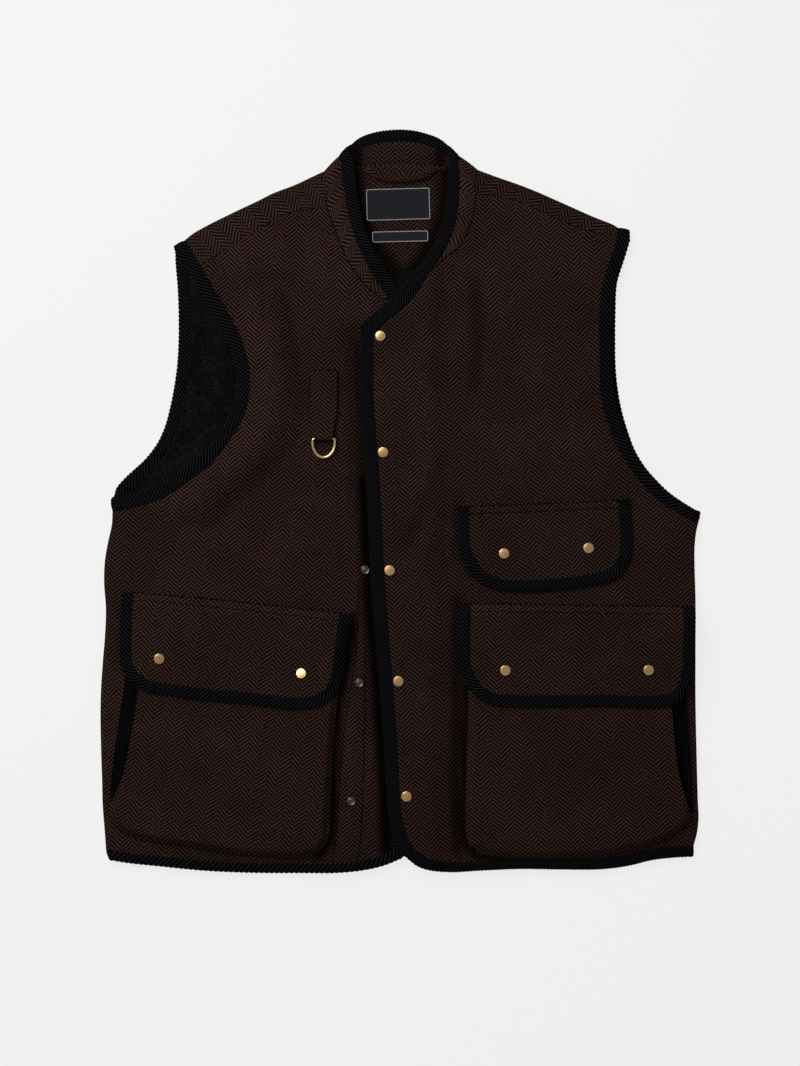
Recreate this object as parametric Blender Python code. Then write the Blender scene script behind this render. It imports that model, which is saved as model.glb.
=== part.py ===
# A shooting vest laid flat on its back, fronts up, with a ring that can lift.
# Every piece is one that a maker cuts and sews: panels, collar, pockets, flaps,
# edge bindings, tab, hanger loop, labels and metal fastenings.
#
# Tables are millimetres on a laying board 800 wide, seen from above: "across" runs
# from its left edge and "down" from its top edge. The wearer's right side is on
# the board's left. Depths and levels are millimetres above the floor.
import math

import bmesh
import bpy
from mathutils import Vector

for thing in list(bpy.data.objects):
    bpy.data.objects.remove(thing, do_unlink=True)

MM = 0.001
BOARD_CENTRE = (400.53, 501.02)   # the place on the board that becomes the origin

CLOTH = 2.4          # a panel: tweed with its own backing
BRAID = 3.2          # the folded edge binding
GAP = 0.3            # between two pieces that are sewn or lie together
LINING = 1.9
FACING = 1.5
LABEL = 0.7
UPPER_LEVEL = 5.0    # underside of everything that lies over the back
ROLL_STEPS = 6       # facets round a half turn of cloth

PANEL_TOP = UPPER_LEVEL + CLOTH
ON_PANEL = PANEL_TOP + GAP
ON_BACK = CLOTH + GAP
ON_FACING = ON_BACK + FACING + GAP

OVERLAP_LIFT = 4.6       # the left front lies over the right front's bound edge
OVERLAP_FLAT_TO = 428    # across, up to where it is lifted fully
OVERLAP_DOWN_TO = 449    # across, from where it lies on the back again

POCKET_LIFT = 3.6        # how far a patch pocket stands off the panel
POCKET_EDGE = 9          # width over which it comes down to its seam
GUSSET = 2.0
FLAP_RISE = POCKET_LIFT + CLOTH + 0.6
FLAP_EDGE = 11           # width below its seam in which a flap climbs the pocket
FLAP_BRAID_WIDTH = 11.8
FLAP_DROOP = 3.0         # the inner side of a flap sinks past the pocket
FLAP_DROOP_WIDTH = 10

SIDE_TURN_UNDER = 8      # the fronts reach this far under, to the side seams

FINISHES = {
    # name: base colour, roughness, metallic
    "tweed": ((0.022, 0.013, 0.011), 0.95, 0.0),
    "braid": ((0.003, 0.003, 0.006), 0.85, 0.0),
    "fleece": ((0.006, 0.007, 0.010), 0.98, 0.0),
    "rib": ((0.004, 0.004, 0.007), 0.9, 0.0),
    "label": ((0.006, 0.006, 0.008), 0.6, 0.0),
    "brass": ((0.62, 0.40, 0.15), 0.28, 1.0),
    "steel": ((0.35, 0.33, 0.30), 0.3, 1.0),
}


# Curves on the board

def smooth_rows(rows, shares):
    """Centripetal spline through the rows, read at shares of its first two columns' length."""
    points = [Vector(row) for row in rows]
    points.insert(0, points[0] * 2 - points[1])
    points.append(points[-1] * 2 - points[-2])
    dense = []
    for span in range(1, len(points) - 2):
        p0, p1, p2, p3 = points[span - 1:span + 3]
        t0 = 0.0
        t1 = t0 + max(math.sqrt((p1 - p0).length), 1e-6)
        t2 = t1 + max(math.sqrt((p2 - p1).length), 1e-6)
        t3 = t2 + max(math.sqrt((p3 - p2).length), 1e-6)
        for step in range(16):
            t = t1 + (t2 - t1) * step / 16
            a1 = p0 * ((t1 - t) / (t1 - t0)) + p1 * ((t - t0) / (t1 - t0))
            a2 = p1 * ((t2 - t) / (t2 - t1)) + p2 * ((t - t1) / (t2 - t1))
            a3 = p2 * ((t3 - t) / (t3 - t2)) + p3 * ((t - t2) / (t3 - t2))
            b1 = a1 * ((t2 - t) / (t2 - t0)) + a2 * ((t - t0) / (t2 - t0))
            b2 = a2 * ((t3 - t) / (t3 - t1)) + a3 * ((t - t1) / (t3 - t1))
            dense.append(b1 * ((t2 - t) / (t2 - t1)) + b2 * ((t - t1) / (t2 - t1)))
    dense.append(points[-2].copy())
    lengths = [0.0]
    for a, b in zip(dense, dense[1:]):
        lengths.append(lengths[-1] + math.hypot(b[0] - a[0], b[1] - a[1]))
    result = []
    place = 0
    for share in shares:
        target = share * lengths[-1]
        while place < len(dense) - 2 and lengths[place + 1] < target:
            place += 1
        run = lengths[place + 1] - lengths[place]
        part = 0.0 if run == 0 else (target - lengths[place]) / run
        result.append(tuple(dense[place].lerp(dense[place + 1], min(max(part, 0.0), 1.0))))
    return result


def even(count):
    return [step / count for step in range(count + 1)]


def smooth(rows, count):
    return smooth_rows(rows, even(count))


def split(row):
    """A table row of four or six columns as places on the board."""
    return [tuple(row[start:start + 2]) for start in range(0, len(row), 2)]


def courses(rows, shares):
    return [split(row) for row in smooth_rows(rows, shares)]


def mix(a, b, share):
    return tuple(p + (q - p) * share for p, q in zip(a, b))


def toward(a, b, distance):
    return mix(a, b, distance / math.dist(a, b))


def unit(a, b):
    length = math.dist(a, b)
    return ((b[0] - a[0]) / length, (b[1] - a[1]) / length)


def offset(path, distance):
    """The path moved to its left, as one walks along it on the board."""
    moved = []
    for place, point in enumerate(path):
        along = unit(path[max(place - 1, 0)], path[min(place + 1, len(path) - 1)])
        moved.append((point[0] + along[1] * distance, point[1] - along[0] * distance))
    return moved


def shares_of(path):
    lengths = [0.0]
    for a, b in zip(path, path[1:]):
        lengths.append(lengths[-1] + math.dist(a, b))
    return [length / lengths[-1] for length in lengths]


def coons(bottom, top, left, right):
    """Rows of points that fill four boundary curves; left and right run from bottom to top."""
    across = [(a + b) / 2 for a, b in zip(shares_of(bottom), shares_of(top))]
    upward = [(a + b) / 2 for a, b in zip(shares_of(left), shares_of(right))]
    rows = []
    for j, v in enumerate(upward):
        row = []
        for i, u in enumerate(across):
            point = []
            for axis in (0, 1):
                ruled = (1 - v) * bottom[i][axis] + v * top[i][axis]
                ruled += (1 - u) * left[j][axis] + u * right[j][axis]
                corners = (1 - u) * (1 - v) * bottom[0][axis] + u * (1 - v) * bottom[-1][axis]
                corners += (1 - u) * v * top[0][axis] + u * v * top[-1][axis]
                point.append(ruled - corners)
            row.append(tuple(point))
        rows.append(row)
    return rows


def ease(share):
    share = min(max(share, 0.0), 1.0)
    return share * share * (3 - 2 * share)


def distance_to(path, place):
    best = math.inf
    for a, b in zip(path, path[1:]):
        run = (b[0] - a[0]) ** 2 + (b[1] - a[1]) ** 2
        part = ((place[0] - a[0]) * (b[0] - a[0]) + (place[1] - a[1]) * (b[1] - a[1])) / run
        near = mix(a, b, min(max(part, 0.0), 1.0))
        best = min(best, math.dist(place, near))
    return best


def beyond(line, place):
    """How far a place lies to the right of a line, as one walks along it."""
    along = unit(*line)
    return (place[1] - line[0][1]) * along[0] - (place[0] - line[0][0]) * along[1]


# Solids

def metres(across, down, level):
    return ((across - BOARD_CENTRE[0]) * MM, (BOARD_CENTRE[1] - down) * MM, level * MM)


HIGH = math.pi
LOW = 0.0
STRAIGHT = (0.0, 0.0)    # no way out, for cloth away from a fold


def turned(place, outward, turn, thickness, depth):
    """A point of cloth that lies low, high, or on the roll from one to the other."""
    radius = (UPPER_LEVEL + thickness) / 2
    reach = radius - depth
    across = place[0] + outward[0] * reach * math.sin(turn)
    down = place[1] + outward[1] * reach * math.sin(turn)
    return (across, down, radius - reach * math.cos(turn))


def out_from_middle(seam, edge):
    """The way a fold bulges whose line runs from seam to edge."""
    along = unit(seam, edge)
    way = (along[1], -along[0])
    if way[0] * (seam[0] - BOARD_CENTRE[0]) + way[1] * (seam[1] - BOARD_CENTRE[1]) < 0:
        way = (-way[0], -way[1])
    return way


def finish(name):
    material = bpy.data.materials.get(name)
    if material is None:
        colour, roughness, metallic = FINISHES[name]
        material = bpy.data.materials.new(name)
        material.use_nodes = True
        shader = material.node_tree.nodes["Principled BSDF"]
        shader.inputs["Base Color"].default_value = (*colour, 1.0)
        shader.inputs["Roughness"].default_value = roughness
        shader.inputs["Metallic"].default_value = metallic
    return material


def place_object(name, shape, look, origin=(0.0, 0.0, 0.0)):
    bmesh.ops.recalc_face_normals(shape, faces=shape.faces)
    bmesh.ops.translate(shape, verts=shape.verts, vec=-Vector(origin))
    mesh = bpy.data.meshes.new(name)
    shape.to_mesh(mesh)
    shape.free()
    mesh.materials.append(finish(look))
    mesh.shade_smooth()
    mesh.set_sharp_from_angle(angle=math.radians(40))
    piece = bpy.data.objects.new(name, mesh)
    piece.location = origin
    bpy.context.collection.objects.link(piece)
    return piece


class Wall:
    """Cloth of two skins: each point has an outer and an inner place."""

    def __init__(self):
        self.outer = []
        self.inner = []
        self.faces = []

    def point(self, outer, inner):
        self.outer.append(outer)
        self.inner.append(inner)
        return len(self.outer) - 1

    def turned_point(self, place, outward, turn, lift=0.0):
        skins = []
        for depth in (0.0, CLOTH):
            across, down, level = turned(place, outward, turn, CLOTH, depth)
            skins.append((across, down, level + lift * (1 - math.cos(turn)) / 2))
        return self.point(*skins)

    def net(self, rows):
        """Faces between rows of point numbers."""
        for low, high in zip(rows, rows[1:]):
            for a, b, c, d in zip(low, low[1:], high[1:], high):
                self.faces.append((a, b, c, d))

    def build(self, name, look):
        shape = bmesh.new()
        outer = [shape.verts.new(metres(*place)) for place in self.outer]
        inner = [shape.verts.new(metres(*place)) for place in self.inner]
        for face in self.faces:
            shape.faces.new([outer[corner] for corner in face])
        rim = [tuple(edge.verts) for edge in shape.edges if edge.is_boundary]
        twin = dict(zip(outer, inner))
        for face in self.faces:
            shape.faces.new([inner[corner] for corner in reversed(face)])
        for a, b in rim:
            shape.faces.new((a, b, twin[b], twin[a]))
        return place_object(name, shape, look)


def lay_wall(name, look, rows, under, thickness):
    """A wall over the board's rows of points, on the level that under gives."""
    wall = Wall()
    numbers = []
    for row in rows:
        line = []
        for place in row:
            level = under(place)
            line.append(wall.point((*place, level + thickness), (*place, level)))
        numbers.append(line)
    wall.net(numbers)
    return wall.build(name, look)


def sweep(name, look, rings, closed=False, origin=(0.0, 0.0, 0.0)):
    """A body through rings of points, its two ends filled or joined."""
    shape = bmesh.new()
    loops = [[shape.verts.new(metres(*place)) for place in ring] for ring in rings]
    spans = list(zip(loops, loops[1:]))
    if closed:
        spans.append((loops[-1], loops[0]))
    for one, other in spans:
        for place in range(len(one)):
            after = (place + 1) % len(one)
            shape.faces.new((one[place], one[after], other[after], other[place]))
    if not closed:
        shape.faces.new(loops[0])
        shape.faces.new(list(reversed(loops[-1])))
    return place_object(name, shape, look, origin)


def flat_piece(name, look, outline, level, thickness):
    """An even piece cut to an outline, lying level."""
    underside = [(*place, level) for place in outline]
    top = [(*place, level + thickness) for place in outline]
    return sweep(name, look, [underside, top])


# The braid's section: share of its width from the seam, share of its depth
BRAID_SECTION = [
    (0.00, 0.16), (0.12, 0.00), (0.82, 0.00), (1.00, 0.34),
    (1.00, 0.66), (0.82, 1.00), (0.12, 1.00), (0.00, 0.84),
]


def braid(name, stops, closed=False):
    """Binding along stops of seam, edge, turn, way out and lift."""
    rings = []
    for seam, edge, turn, outward, lift in stops:
        seam = toward(seam, edge, GAP)
        ring = []
        for width_share, depth_share in BRAID_SECTION:
            place = mix(seam, edge, width_share)
            across, down, level = turned(place, outward, turn, BRAID, depth_share * BRAID)
            ring.append((across, down, level + lift(place) * (1 - math.cos(turn)) / 2))
        rings.append(ring)
    return sweep(name, "braid", rings, closed)


def lay_braid(name, seams, edges, under):
    """Binding laid on the level that under gives at each seam point."""
    rings = []
    for seam, edge in zip(seams, edges):
        seam = toward(seam, edge, GAP)
        ring = []
        for width_share, depth_share in BRAID_SECTION:
            place = mix(seam, edge, width_share)
            ring.append((*place, under(place) + BRAID * (1 - depth_share)))
        rings.append(ring)
    return sweep(name, "braid", rings)


def no_lift(place):
    return 0.0


def layer_stops(pairs, turn, lift=no_lift):
    return [(pair[0], pair[1], turn, STRAIGHT, lift) for pair in pairs]


def roll_stops(seam, edge, start, end, outward):
    """Stops round a fold whose line runs from seam to edge, its first and last too."""
    turns = [start + (end - start) * share for share in even(ROLL_STEPS)]
    return [(seam, edge, turn, outward, no_lift) for turn in turns]


# Outlines, each table named for the edge it follows.
# Columns: seam across, seam down, edge across, edge down.

RIGHT_FRONT_EDGE = [
    (408.4, 325.9, 420.9, 317.4), (408.4, 360, 421.3, 360), (408.4, 600, 421.3, 600),
    (408.4, 785, 421.3, 787), (407.0, 815, 419.8, 822), (402.0, 835, 413.5, 845),
    (393.5, 849.7, 402.0, 858.5),
]
RIGHT_HEM = [
    (393.5, 849.7, 402.0, 858.5), (381, 856.5, 386, 865.2), (366, 860.3, 369, 869.6),
    (340, 863.6, 341, 873), (300, 864.1, 300, 873.3), (250, 863.6, 250, 873),
    (205, 861.3, 204, 871), (160, 857, 159, 866.6), (130, 853.8, 129, 863.5),
    (109.3, 850.5, 113.2, 861),
]
LEFT_FRONT_EDGE = [
    (372.9, 334.9, 360.3, 326.5), (373, 360, 360.3, 360), (373.5, 400, 360.4, 400),
    (377, 450, 363.6, 450), (380.5, 500, 366.8, 500), (382.8, 550, 369.3, 550),
    (385.8, 600, 372.3, 600), (389.8, 650, 376.5, 650), (393.8, 700, 380.5, 700),
    (397.3, 750, 384.2, 750), (399.8, 800, 387.2, 800), (402.5, 821, 390, 825),
    (408, 838, 396, 845), (414.5, 849.5, 405.2, 856.5),
]
LEFT_HEM = [
    (414.5, 849.5, 405.2, 856.5), (423, 856, 417, 866), (434, 860.2, 430, 870.4),
    (450, 862.3, 449, 872.6), (480, 862, 480, 871), (520, 860, 520, 869.3),
    (560, 859.8, 560, 869.8), (600, 859, 602, 869.6), (625, 855.5, 628, 866.3),
    (650, 850, 652, 860.5), (672, 847.3, 673, 858), (690.3, 846.3, 690, 857),
]
BACK_HEM = [
    (109.3, 850.5, 113.2, 861), (118, 850.9, 120.5, 861.2), (140, 849.6, 141, 859.8),
    (180, 847, 180.5, 857.3), (260, 844, 260, 854.3), (400, 842.5, 400, 852.8),
    (540, 842.5, 540, 852.8), (640, 845, 640, 855.2), (672, 846.7, 671.5, 856.9),
    (682, 846.8, 682, 857), (690.3, 846.3, 690, 857),
]

# Side silhouettes, from the hem up to the armpit: across, down
RIGHT_SIDE = [
    (105.6, 850.5), (104.2, 831), (102.2, 805), (101.6, 780), (100.6, 750), (100, 715),
    (100.5, 690), (102.5, 660), (104.5, 636), (105.5, 610), (103.6, 582), (104.5, 560),
    (108, 540), (111.5, 524), (112, 511.3),
]
LEFT_SIDE = [
    (694.0, 846.3), (697, 836), (699, 820), (698.3, 800), (697, 750), (696, 700),
    (696, 650), (696, 600), (695, 565), (695, 548), (696.5, 533), (699.1, 521.5),
]

# Armholes of the fronts, from the armpit up to the shoulder seam
RIGHT_ARMHOLE = [
    (115.7, 511.3, 114, 498.5), (135, 507.5, 132, 494.3), (150, 503, 146.5, 489.8),
    (165, 497, 160, 484.5), (180, 488, 173.5, 475.5), (195, 477, 187, 465.5),
    (210, 465, 201, 454), (222, 451, 212, 441.5), (232, 437, 221, 429),
    (240, 424, 228.5, 417), (246, 409, 233.5, 404), (249, 394, 236, 391.5),
    (250, 378, 237, 378), (247, 358, 234, 361.5), (241, 338, 228.5, 344),
    (232, 320, 220.5, 327), (222, 302, 210.5, 309), (211, 284, 199.5, 291),
    (200, 265, 187.5, 270),
]
LEFT_ARMHOLE = [
    (695.4, 521.5, 697.3, 511.5), (688, 518.5, 692, 507.5), (678, 513, 683.5, 502.5),
    (662, 502, 669.5, 492.5), (648, 489.5, 657, 480.5), (636, 476, 646, 468),
    (626, 461, 637, 454.5), (617, 445, 629, 440), (610, 429, 622.5, 425),
    (604, 410, 617, 407.5), (600.7, 390, 613.8, 388.5), (600, 350, 613, 350),
    (600, 315, 613, 316), (602, 290, 615, 292), (607, 270, 619.8, 273.5),
    (613, 252, 625.6, 256), (618, 237, 630.3, 240),
]
# The ends of the back's shoulders, from the front's seam up to the shoulder's fold
RIGHT_TIP = [(200, 265, 187.5, 270), (193, 253.5, 181, 259.5), (187, 242.8, 174.8, 249)]
LEFT_TIP = [(618, 237, 630.3, 240), (617.3, 234, 630, 236.5), (616.8, 231, 629.5, 233)]
# Armholes of the back, from the armpit up to the shoulder's fold
RIGHT_BACK_ARMHOLE = [
    (115.7, 511.3, 114, 498.5), (121.5, 499, 115.2, 489), (132, 487, 124.6, 477.5),
    (143, 477, 135, 468), (154, 467, 145, 458.5), (166.5, 450, 156.4, 443.5),
    (175.5, 431, 164.3, 426.5), (181.3, 410, 169.8, 406), (185.6, 388, 173.8, 385.5),
    (188.6, 365, 176.7, 363.5), (190, 340, 178, 340), (190, 310, 178, 310),
    (189.2, 285, 177, 286), (187.6, 260, 175, 262), (187, 242.8, 174.8, 249),
]
LEFT_BACK_ARMHOLE = [
    (695.4, 521.5, 697.3, 511.5), (675, 511, 681, 500.5), (660.5, 500.5, 668, 491.5),
    (646, 486.5, 654.8, 478.5), (633.5, 471, 643.3, 463.5), (624.5, 455, 635, 449),
    (616.5, 435, 628, 430), (610.3, 414, 622.2, 410), (606.3, 392, 618.4, 389.5),
    (604, 368, 616.2, 367), (603.4, 340, 615.7, 340), (603.7, 312, 616, 312),
    (604.8, 285, 617, 286.5), (608.5, 262, 620.6, 265), (614.5, 243, 626.8, 246),
    (616.8, 231, 629.5, 233),
]

# Shoulder seams, from the neck to the armhole, and the folds' silhouettes above them
RIGHT_SHOULDER_SEAM = [
    (326.8, 208), (303, 210), (283, 215.5), (262, 227), (240, 240), (222, 253), (200, 265),
]
LEFT_SHOULDER_SEAM = [
    (476.8, 194.3), (498, 196.7), (515, 200.3), (530, 205.8), (545, 213), (563, 221),
    (580, 228), (600, 232.5), (618, 237),
]
RIGHT_SHOULDER_TOP = [
    (323.9, 170.7), (312, 176.3), (295, 184.3), (272, 193.2), (258, 200.3), (241, 208.3),
    (224, 216.5), (208, 224.5), (193, 233), (185.7, 238.7),
]
LEFT_SHOULDER_TOP = [
    (477.3, 169.2), (497, 176.5), (520, 184.5), (540, 192.5), (558, 200.5), (576, 208.5),
    (594, 216.5), (614, 224.5), (617.5, 226.8),
]

# The neck, from the front edge's corner up to the shoulder and round the back.
# Columns: braid seam, braid edge, and from the collar's start the collar's own seam.
RIGHT_NECK_END = [
    (408.9, 325.2, 421.4, 316.7), (399.5, 311.4, 410, 300.4), (388, 297, 399, 286),
]
RIGHT_COLLAR = [
    (388, 297, 398, 286, 385.3, 300.4), (376, 279.5, 385.4, 267, 368, 288),
    (366, 262, 375, 250.4, 356.8, 274.4), (358, 244, 367.2, 234, 347.6, 259.6),
    (351.5, 225, 362.2, 216.6, 339.6, 241.6), (347, 206, 358.2, 198.6, 333.6, 224.6),
    (344.2, 188, 355.8, 181.4, 327.2, 207.8),
]
RIGHT_COLLAR_TOP = [
    (344.2, 188, 355.8, 181.4, 327.2, 207.8), (342.4, 172, 354.2, 164.6, 326.9, 190),
    (341.5, 158.3, 350, 148.5, 327.0, 173.2),
]
BACK_COLLAR = [
    (341.5, 158.3, 350, 148.5, 327.0, 173.2), (350, 152, 354, 141, 342, 168.6),
    (362, 146.6, 363, 135.2, 358, 165.6), (375, 143, 374, 131.5, 373, 164),
    (388, 141, 387.5, 129.3, 387, 163.3), (400, 140.3, 400, 128.6, 400, 163),
    (413, 141, 413.5, 129.6, 413, 163.3), (426, 143.6, 427, 132.8, 427, 164),
    (438, 148, 438.5, 137.2, 442, 165.6), (448, 153.4, 446, 142.8, 457, 168.4),
    (456.6, 158.3, 447.4, 149.2, 474.6, 171.6),
]
LEFT_NECK_END = [
    (373.2, 334.4, 360.6, 325.9), (386.5, 321, 378, 309), (397.3, 313, 388.5, 301.3),
    (408, 303.4, 397.5, 292.8), (416.8, 293, 404.3, 284.5), (424.3, 282, 411.5, 275.5),
    (429, 274, 416, 268.5),
]
LEFT_COLLAR = [
    (429, 274, 416.6, 268.7, 432, 270.3), (434.3, 265.5, 423, 262, 440.8, 262.1),
    (442, 253.5, 431, 249.6, 454.6, 251.6), (449.5, 240, 438.6, 236.6, 463.7, 240.6),
    (455, 225, 443.3, 221.5, 470, 226), (458.2, 206, 446, 203, 474, 210),
    (459.5, 188, 448.5, 183, 476.2, 194),
]
LEFT_COLLAR_TOP = [
    (459.5, 188, 448.5, 183, 476.2, 194), (459, 173, 448.7, 166, 475.1, 183),
    (456.6, 158.3, 447.4, 149.2, 474.6, 171.6),
]

# Folds that stand up: the path of the crest, half width, height
RIGHT_FRONT_FOLDS = [
    ([(240, 272), (256, 310), (268, 348), (273, 385), (268, 420), (251, 452), (222, 480),
      (188, 503)], 27, 3.4),
    ([(318, 228), (322, 290), (326, 345)], 24, 1.4),
    ([(128, 545), (150, 562)], 25, 1.6),
]
LEFT_FRONT_FOLDS = [
    ([(474, 262), (520, 300), (560, 400)], 46, 1.5),
    ([(448, 420), (436, 480), (424, 540)], 20, 1.8),
    ([(664, 536), (667, 556)], 23, 1.6),
]

RIGHT = {
    "side": -1, "columns": even(15), "end_rows": 3, "collar_rows": 9,
    "edge": RIGHT_FRONT_EDGE, "hem": RIGHT_HEM, "silhouette": RIGHT_SIDE,
    "armhole": RIGHT_ARMHOLE, "tip": RIGHT_TIP, "back_armhole": RIGHT_BACK_ARMHOLE,
    "seam": RIGHT_SHOULDER_SEAM, "top": RIGHT_SHOULDER_TOP, "end": RIGHT_NECK_END,
    "collar": RIGHT_COLLAR, "collar_top": RIGHT_COLLAR_TOP,
}
LEFT = {
    # the columns stand close where the panel comes down off the overlap
    "side": 1, "end_rows": 6, "collar_rows": 6,
    "columns": [0, .03, .06, .09, .12, .15, .18, .21, .24, .28, .33, .4, .48, .56, .64, .72,
                .8, .88, .95, 1],
    "edge": LEFT_FRONT_EDGE, "hem": LEFT_HEM, "silhouette": LEFT_SIDE,
    "armhole": LEFT_ARMHOLE, "tip": LEFT_TIP, "back_armhole": LEFT_BACK_ARMHOLE,
    "seam": LEFT_SHOULDER_SEAM, "top": LEFT_SHOULDER_TOP, "end": LEFT_NECK_END,
    "collar": LEFT_COLLAR, "collar_top": LEFT_COLLAR_TOP,
}
# Rows up a front: its edge and neck have as many in all as its side and armhole
EDGE_ROWS = 26
SIDE_ROWS = 15
ARMHOLE_ROWS = 23
BACK_ARMHOLE_ROWS = 22
TIP_ROWS = 2
COLLAR_TOP_ROWS = 3
BACK_NECK_COLUMNS = 14
SIDE_SHARE = 0.0145     # of the back's hem, from its end to a side seam


def fold_lift(folds, place):
    lift = 0.0
    for crest, half_width, height in folds:
        reach = distance_to(crest, place) / half_width
        if reach < 1:
            lift = max(lift, height * (0.5 + 0.5 * math.cos(math.pi * reach)))
    return lift


def right_lift(place):
    return fold_lift(RIGHT_FRONT_FOLDS, place)


def left_lift(place):
    over = (OVERLAP_DOWN_TO - place[0]) / (OVERLAP_DOWN_TO - OVERLAP_FLAT_TO)
    return OVERLAP_LIFT * ease(over) + fold_lift(LEFT_FRONT_FOLDS, place)


class Half:
    """The edges of one side of the vest, read once so that neighbours share their points."""

    def __init__(self, tables, lift):
        side = tables["side"]
        radius = (UPPER_LEVEL + CLOTH) / 2
        self.side = side
        self.lift = lift
        self.edge = courses(tables["edge"], even(EDGE_ROWS))
        self.hem = courses(tables["hem"], tables["columns"])
        self.armhole = courses(tables["armhole"], even(ARMHOLE_ROWS))
        fold = offset(smooth(tables["silhouette"], SIDE_ROWS), side * radius)
        self.fold = [self.hem[-1][0]] + fold[1:-1] + [self.armhole[0][0]]
        self.tip = courses(tables["tip"], even(TIP_ROWS))
        self.back_armhole = courses(tables["back_armhole"], even(BACK_ARMHOLE_ROWS))
        self.seam = smooth_rows(tables["seam"], tables["columns"])
        self.top = offset(smooth_rows(tables["top"], tables["columns"]), -side * radius)
        self.end = courses(tables["end"], even(tables["end_rows"]))
        self.collar = courses(tables["collar"], even(tables["collar_rows"]))
        self.collar_top = courses(tables["collar_top"], even(COLLAR_TOP_ROWS))

    def neck(self):
        """The front's own neck edge, from its corner to the shoulder seam."""
        plain = [seam for seam, edge in self.end[1:-1]]
        sewn = offset([seam for braid_seam, edge, seam in self.collar], -self.side * GAP)
        return [self.edge[0][0]] + plain + sewn


# The panels

def build_front(name, half):
    """A front: its panel, and the side of it that rolls round to the underside."""
    neck = half.neck()
    near = [seam for seam, edge in reversed(half.edge)] + neck[1:]
    far = half.fold + [seam for seam, edge in half.armhole[1:]]
    hem = [seam for seam, edge in half.hem[:-1]] + [half.fold[0]]
    shoulder = [neck[-1]] + half.seam[1:]
    wall = Wall()
    numbers = []
    for row in coons(hem, shoulder, near, far):
        numbers.append([wall.turned_point(place, STRAIGHT, HIGH, half.lift(place))
                        for place in row])
    wall.net(numbers)
    outward = (half.side, 0.0)
    roll = []
    for row, place in zip(numbers, half.fold):
        line = [row[-1]]
        for share in even(ROLL_STEPS)[1:]:
            line.append(wall.turned_point(place, outward, HIGH + (LOW - HIGH) * share))
        under = (place[0] - half.side * SIDE_TURN_UNDER, place[1])
        line.append(wall.turned_point(under, STRAIGHT, LOW))
        roll.append(line)
    wall.net(roll)
    return wall.build(name, "tweed")


def wrap_shoulder(wall, half, fold_numbers):
    """The back's cloth over one shoulder: its roll, and its strip down to the seam."""
    rows = [fold_numbers]
    outwards = []
    for place in range(len(half.top)):
        before = half.top[max(place - 1, 0)]
        after = half.top[min(place + 1, len(half.top) - 1)]
        outwards.append(out_from_middle(before, after))
    for share in even(ROLL_STEPS)[1:]:
        rows.append([wall.turned_point(place, outward, HIGH * share)
                     for place, outward in zip(half.top, outwards)])
    sewn = [toward(seam, fold, GAP) for seam, fold in zip(half.seam, half.top)]
    for step in range(1, TIP_ROWS):
        line = [mix(fold, seam, step / TIP_ROWS) for fold, seam in zip(half.top, sewn)]
        line[-1] = half.tip[TIP_ROWS - step][0]
        rows.append([wall.turned_point(place, STRAIGHT, HIGH) for place in line])
    rows.append([wall.turned_point(place, STRAIGHT, HIGH) for place in sewn])
    wall.net(rows)


def back_side(half):
    """The back's own side seam and armhole, from the hem to the shoulder."""
    inward = half.side * (SIDE_TURN_UNDER + GAP)
    side = [(place[0] - inward, place[1]) for place in half.fold]
    armhole = [seam for seam, edge in half.back_armhole[1:-1]]
    return side + armhole + [half.top[-1]]


def build_back(right, left, back_collar, hem_pairs):
    """The back lies on the floor and wraps over both shoulders to the fronts' seams."""
    neck = offset([seam for braid_seam, edge, seam in back_collar], -GAP)
    top = list(reversed(right.top)) + neck + left.top
    hem = [seam for seam, edge in hem_pairs[1:-1]]
    right_side = [hem[0]] + back_side(right)[1:]
    left_side = [hem[-1]] + back_side(left)[1:]
    wall = Wall()
    numbers = []
    for row in coons(hem, top, right_side, left_side):
        numbers.append([wall.turned_point(place, STRAIGHT, LOW) for place in row])
    wall.net(numbers)
    last = numbers[-1]
    wrap_shoulder(wall, right, list(reversed(last[:len(right.top)])))
    wrap_shoulder(wall, left, last[-len(left.top):])
    return wall.build("back", "tweed")


LINING_HEM = 838          # down
LINING_SIDE_CLEAR = 1.8   # from the turned-under fronts
LINING_ARMHOLE_CLEAR = 0.8
SHOULDER_CLEAR = 6        # from the shoulder's fold to the lining
LEAST_STEP = 1            # between two points of the lining's outline
FACING_HALF_WIDTH = 90
FACING_TOP = 188          # down, of its sides
FACING_DOWN = 268
FACING_NECK_CLEAR = 1.8


def build_lining(right, left):
    """The fleece lining that shows in the armhole and below the neck facing."""
    outline = []
    for half, backwards in ((right, False), (left, True)):
        inward = half.side * (SIDE_TURN_UNDER + LINING_SIDE_CLEAR)
        path = [(place[0] - inward, place[1]) for place in half.fold[1:]]
        path[0] = (path[0][0], LINING_HEM)
        path += [toward(seam, edge, -LINING_ARMHOLE_CLEAR)
                 for seam, edge in half.back_armhole[2:-1]]
        facing_side = BOARD_CENTRE[0] + half.side * (FACING_HALF_WIDTH + GAP)
        shoulder = reversed(offset(half.top, -half.side * SHOULDER_CLEAR)[:-1])
        path += [place for place in shoulder
                 if (place[0] - facing_side) * half.side > LEAST_STEP]
        path.append((facing_side, path[-1][1]))
        path.append((facing_side, FACING_DOWN + GAP))
        outline += list(reversed(path)) if backwards else path
    flat_piece("lining_back", "fleece", outline, ON_BACK, LINING)


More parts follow.
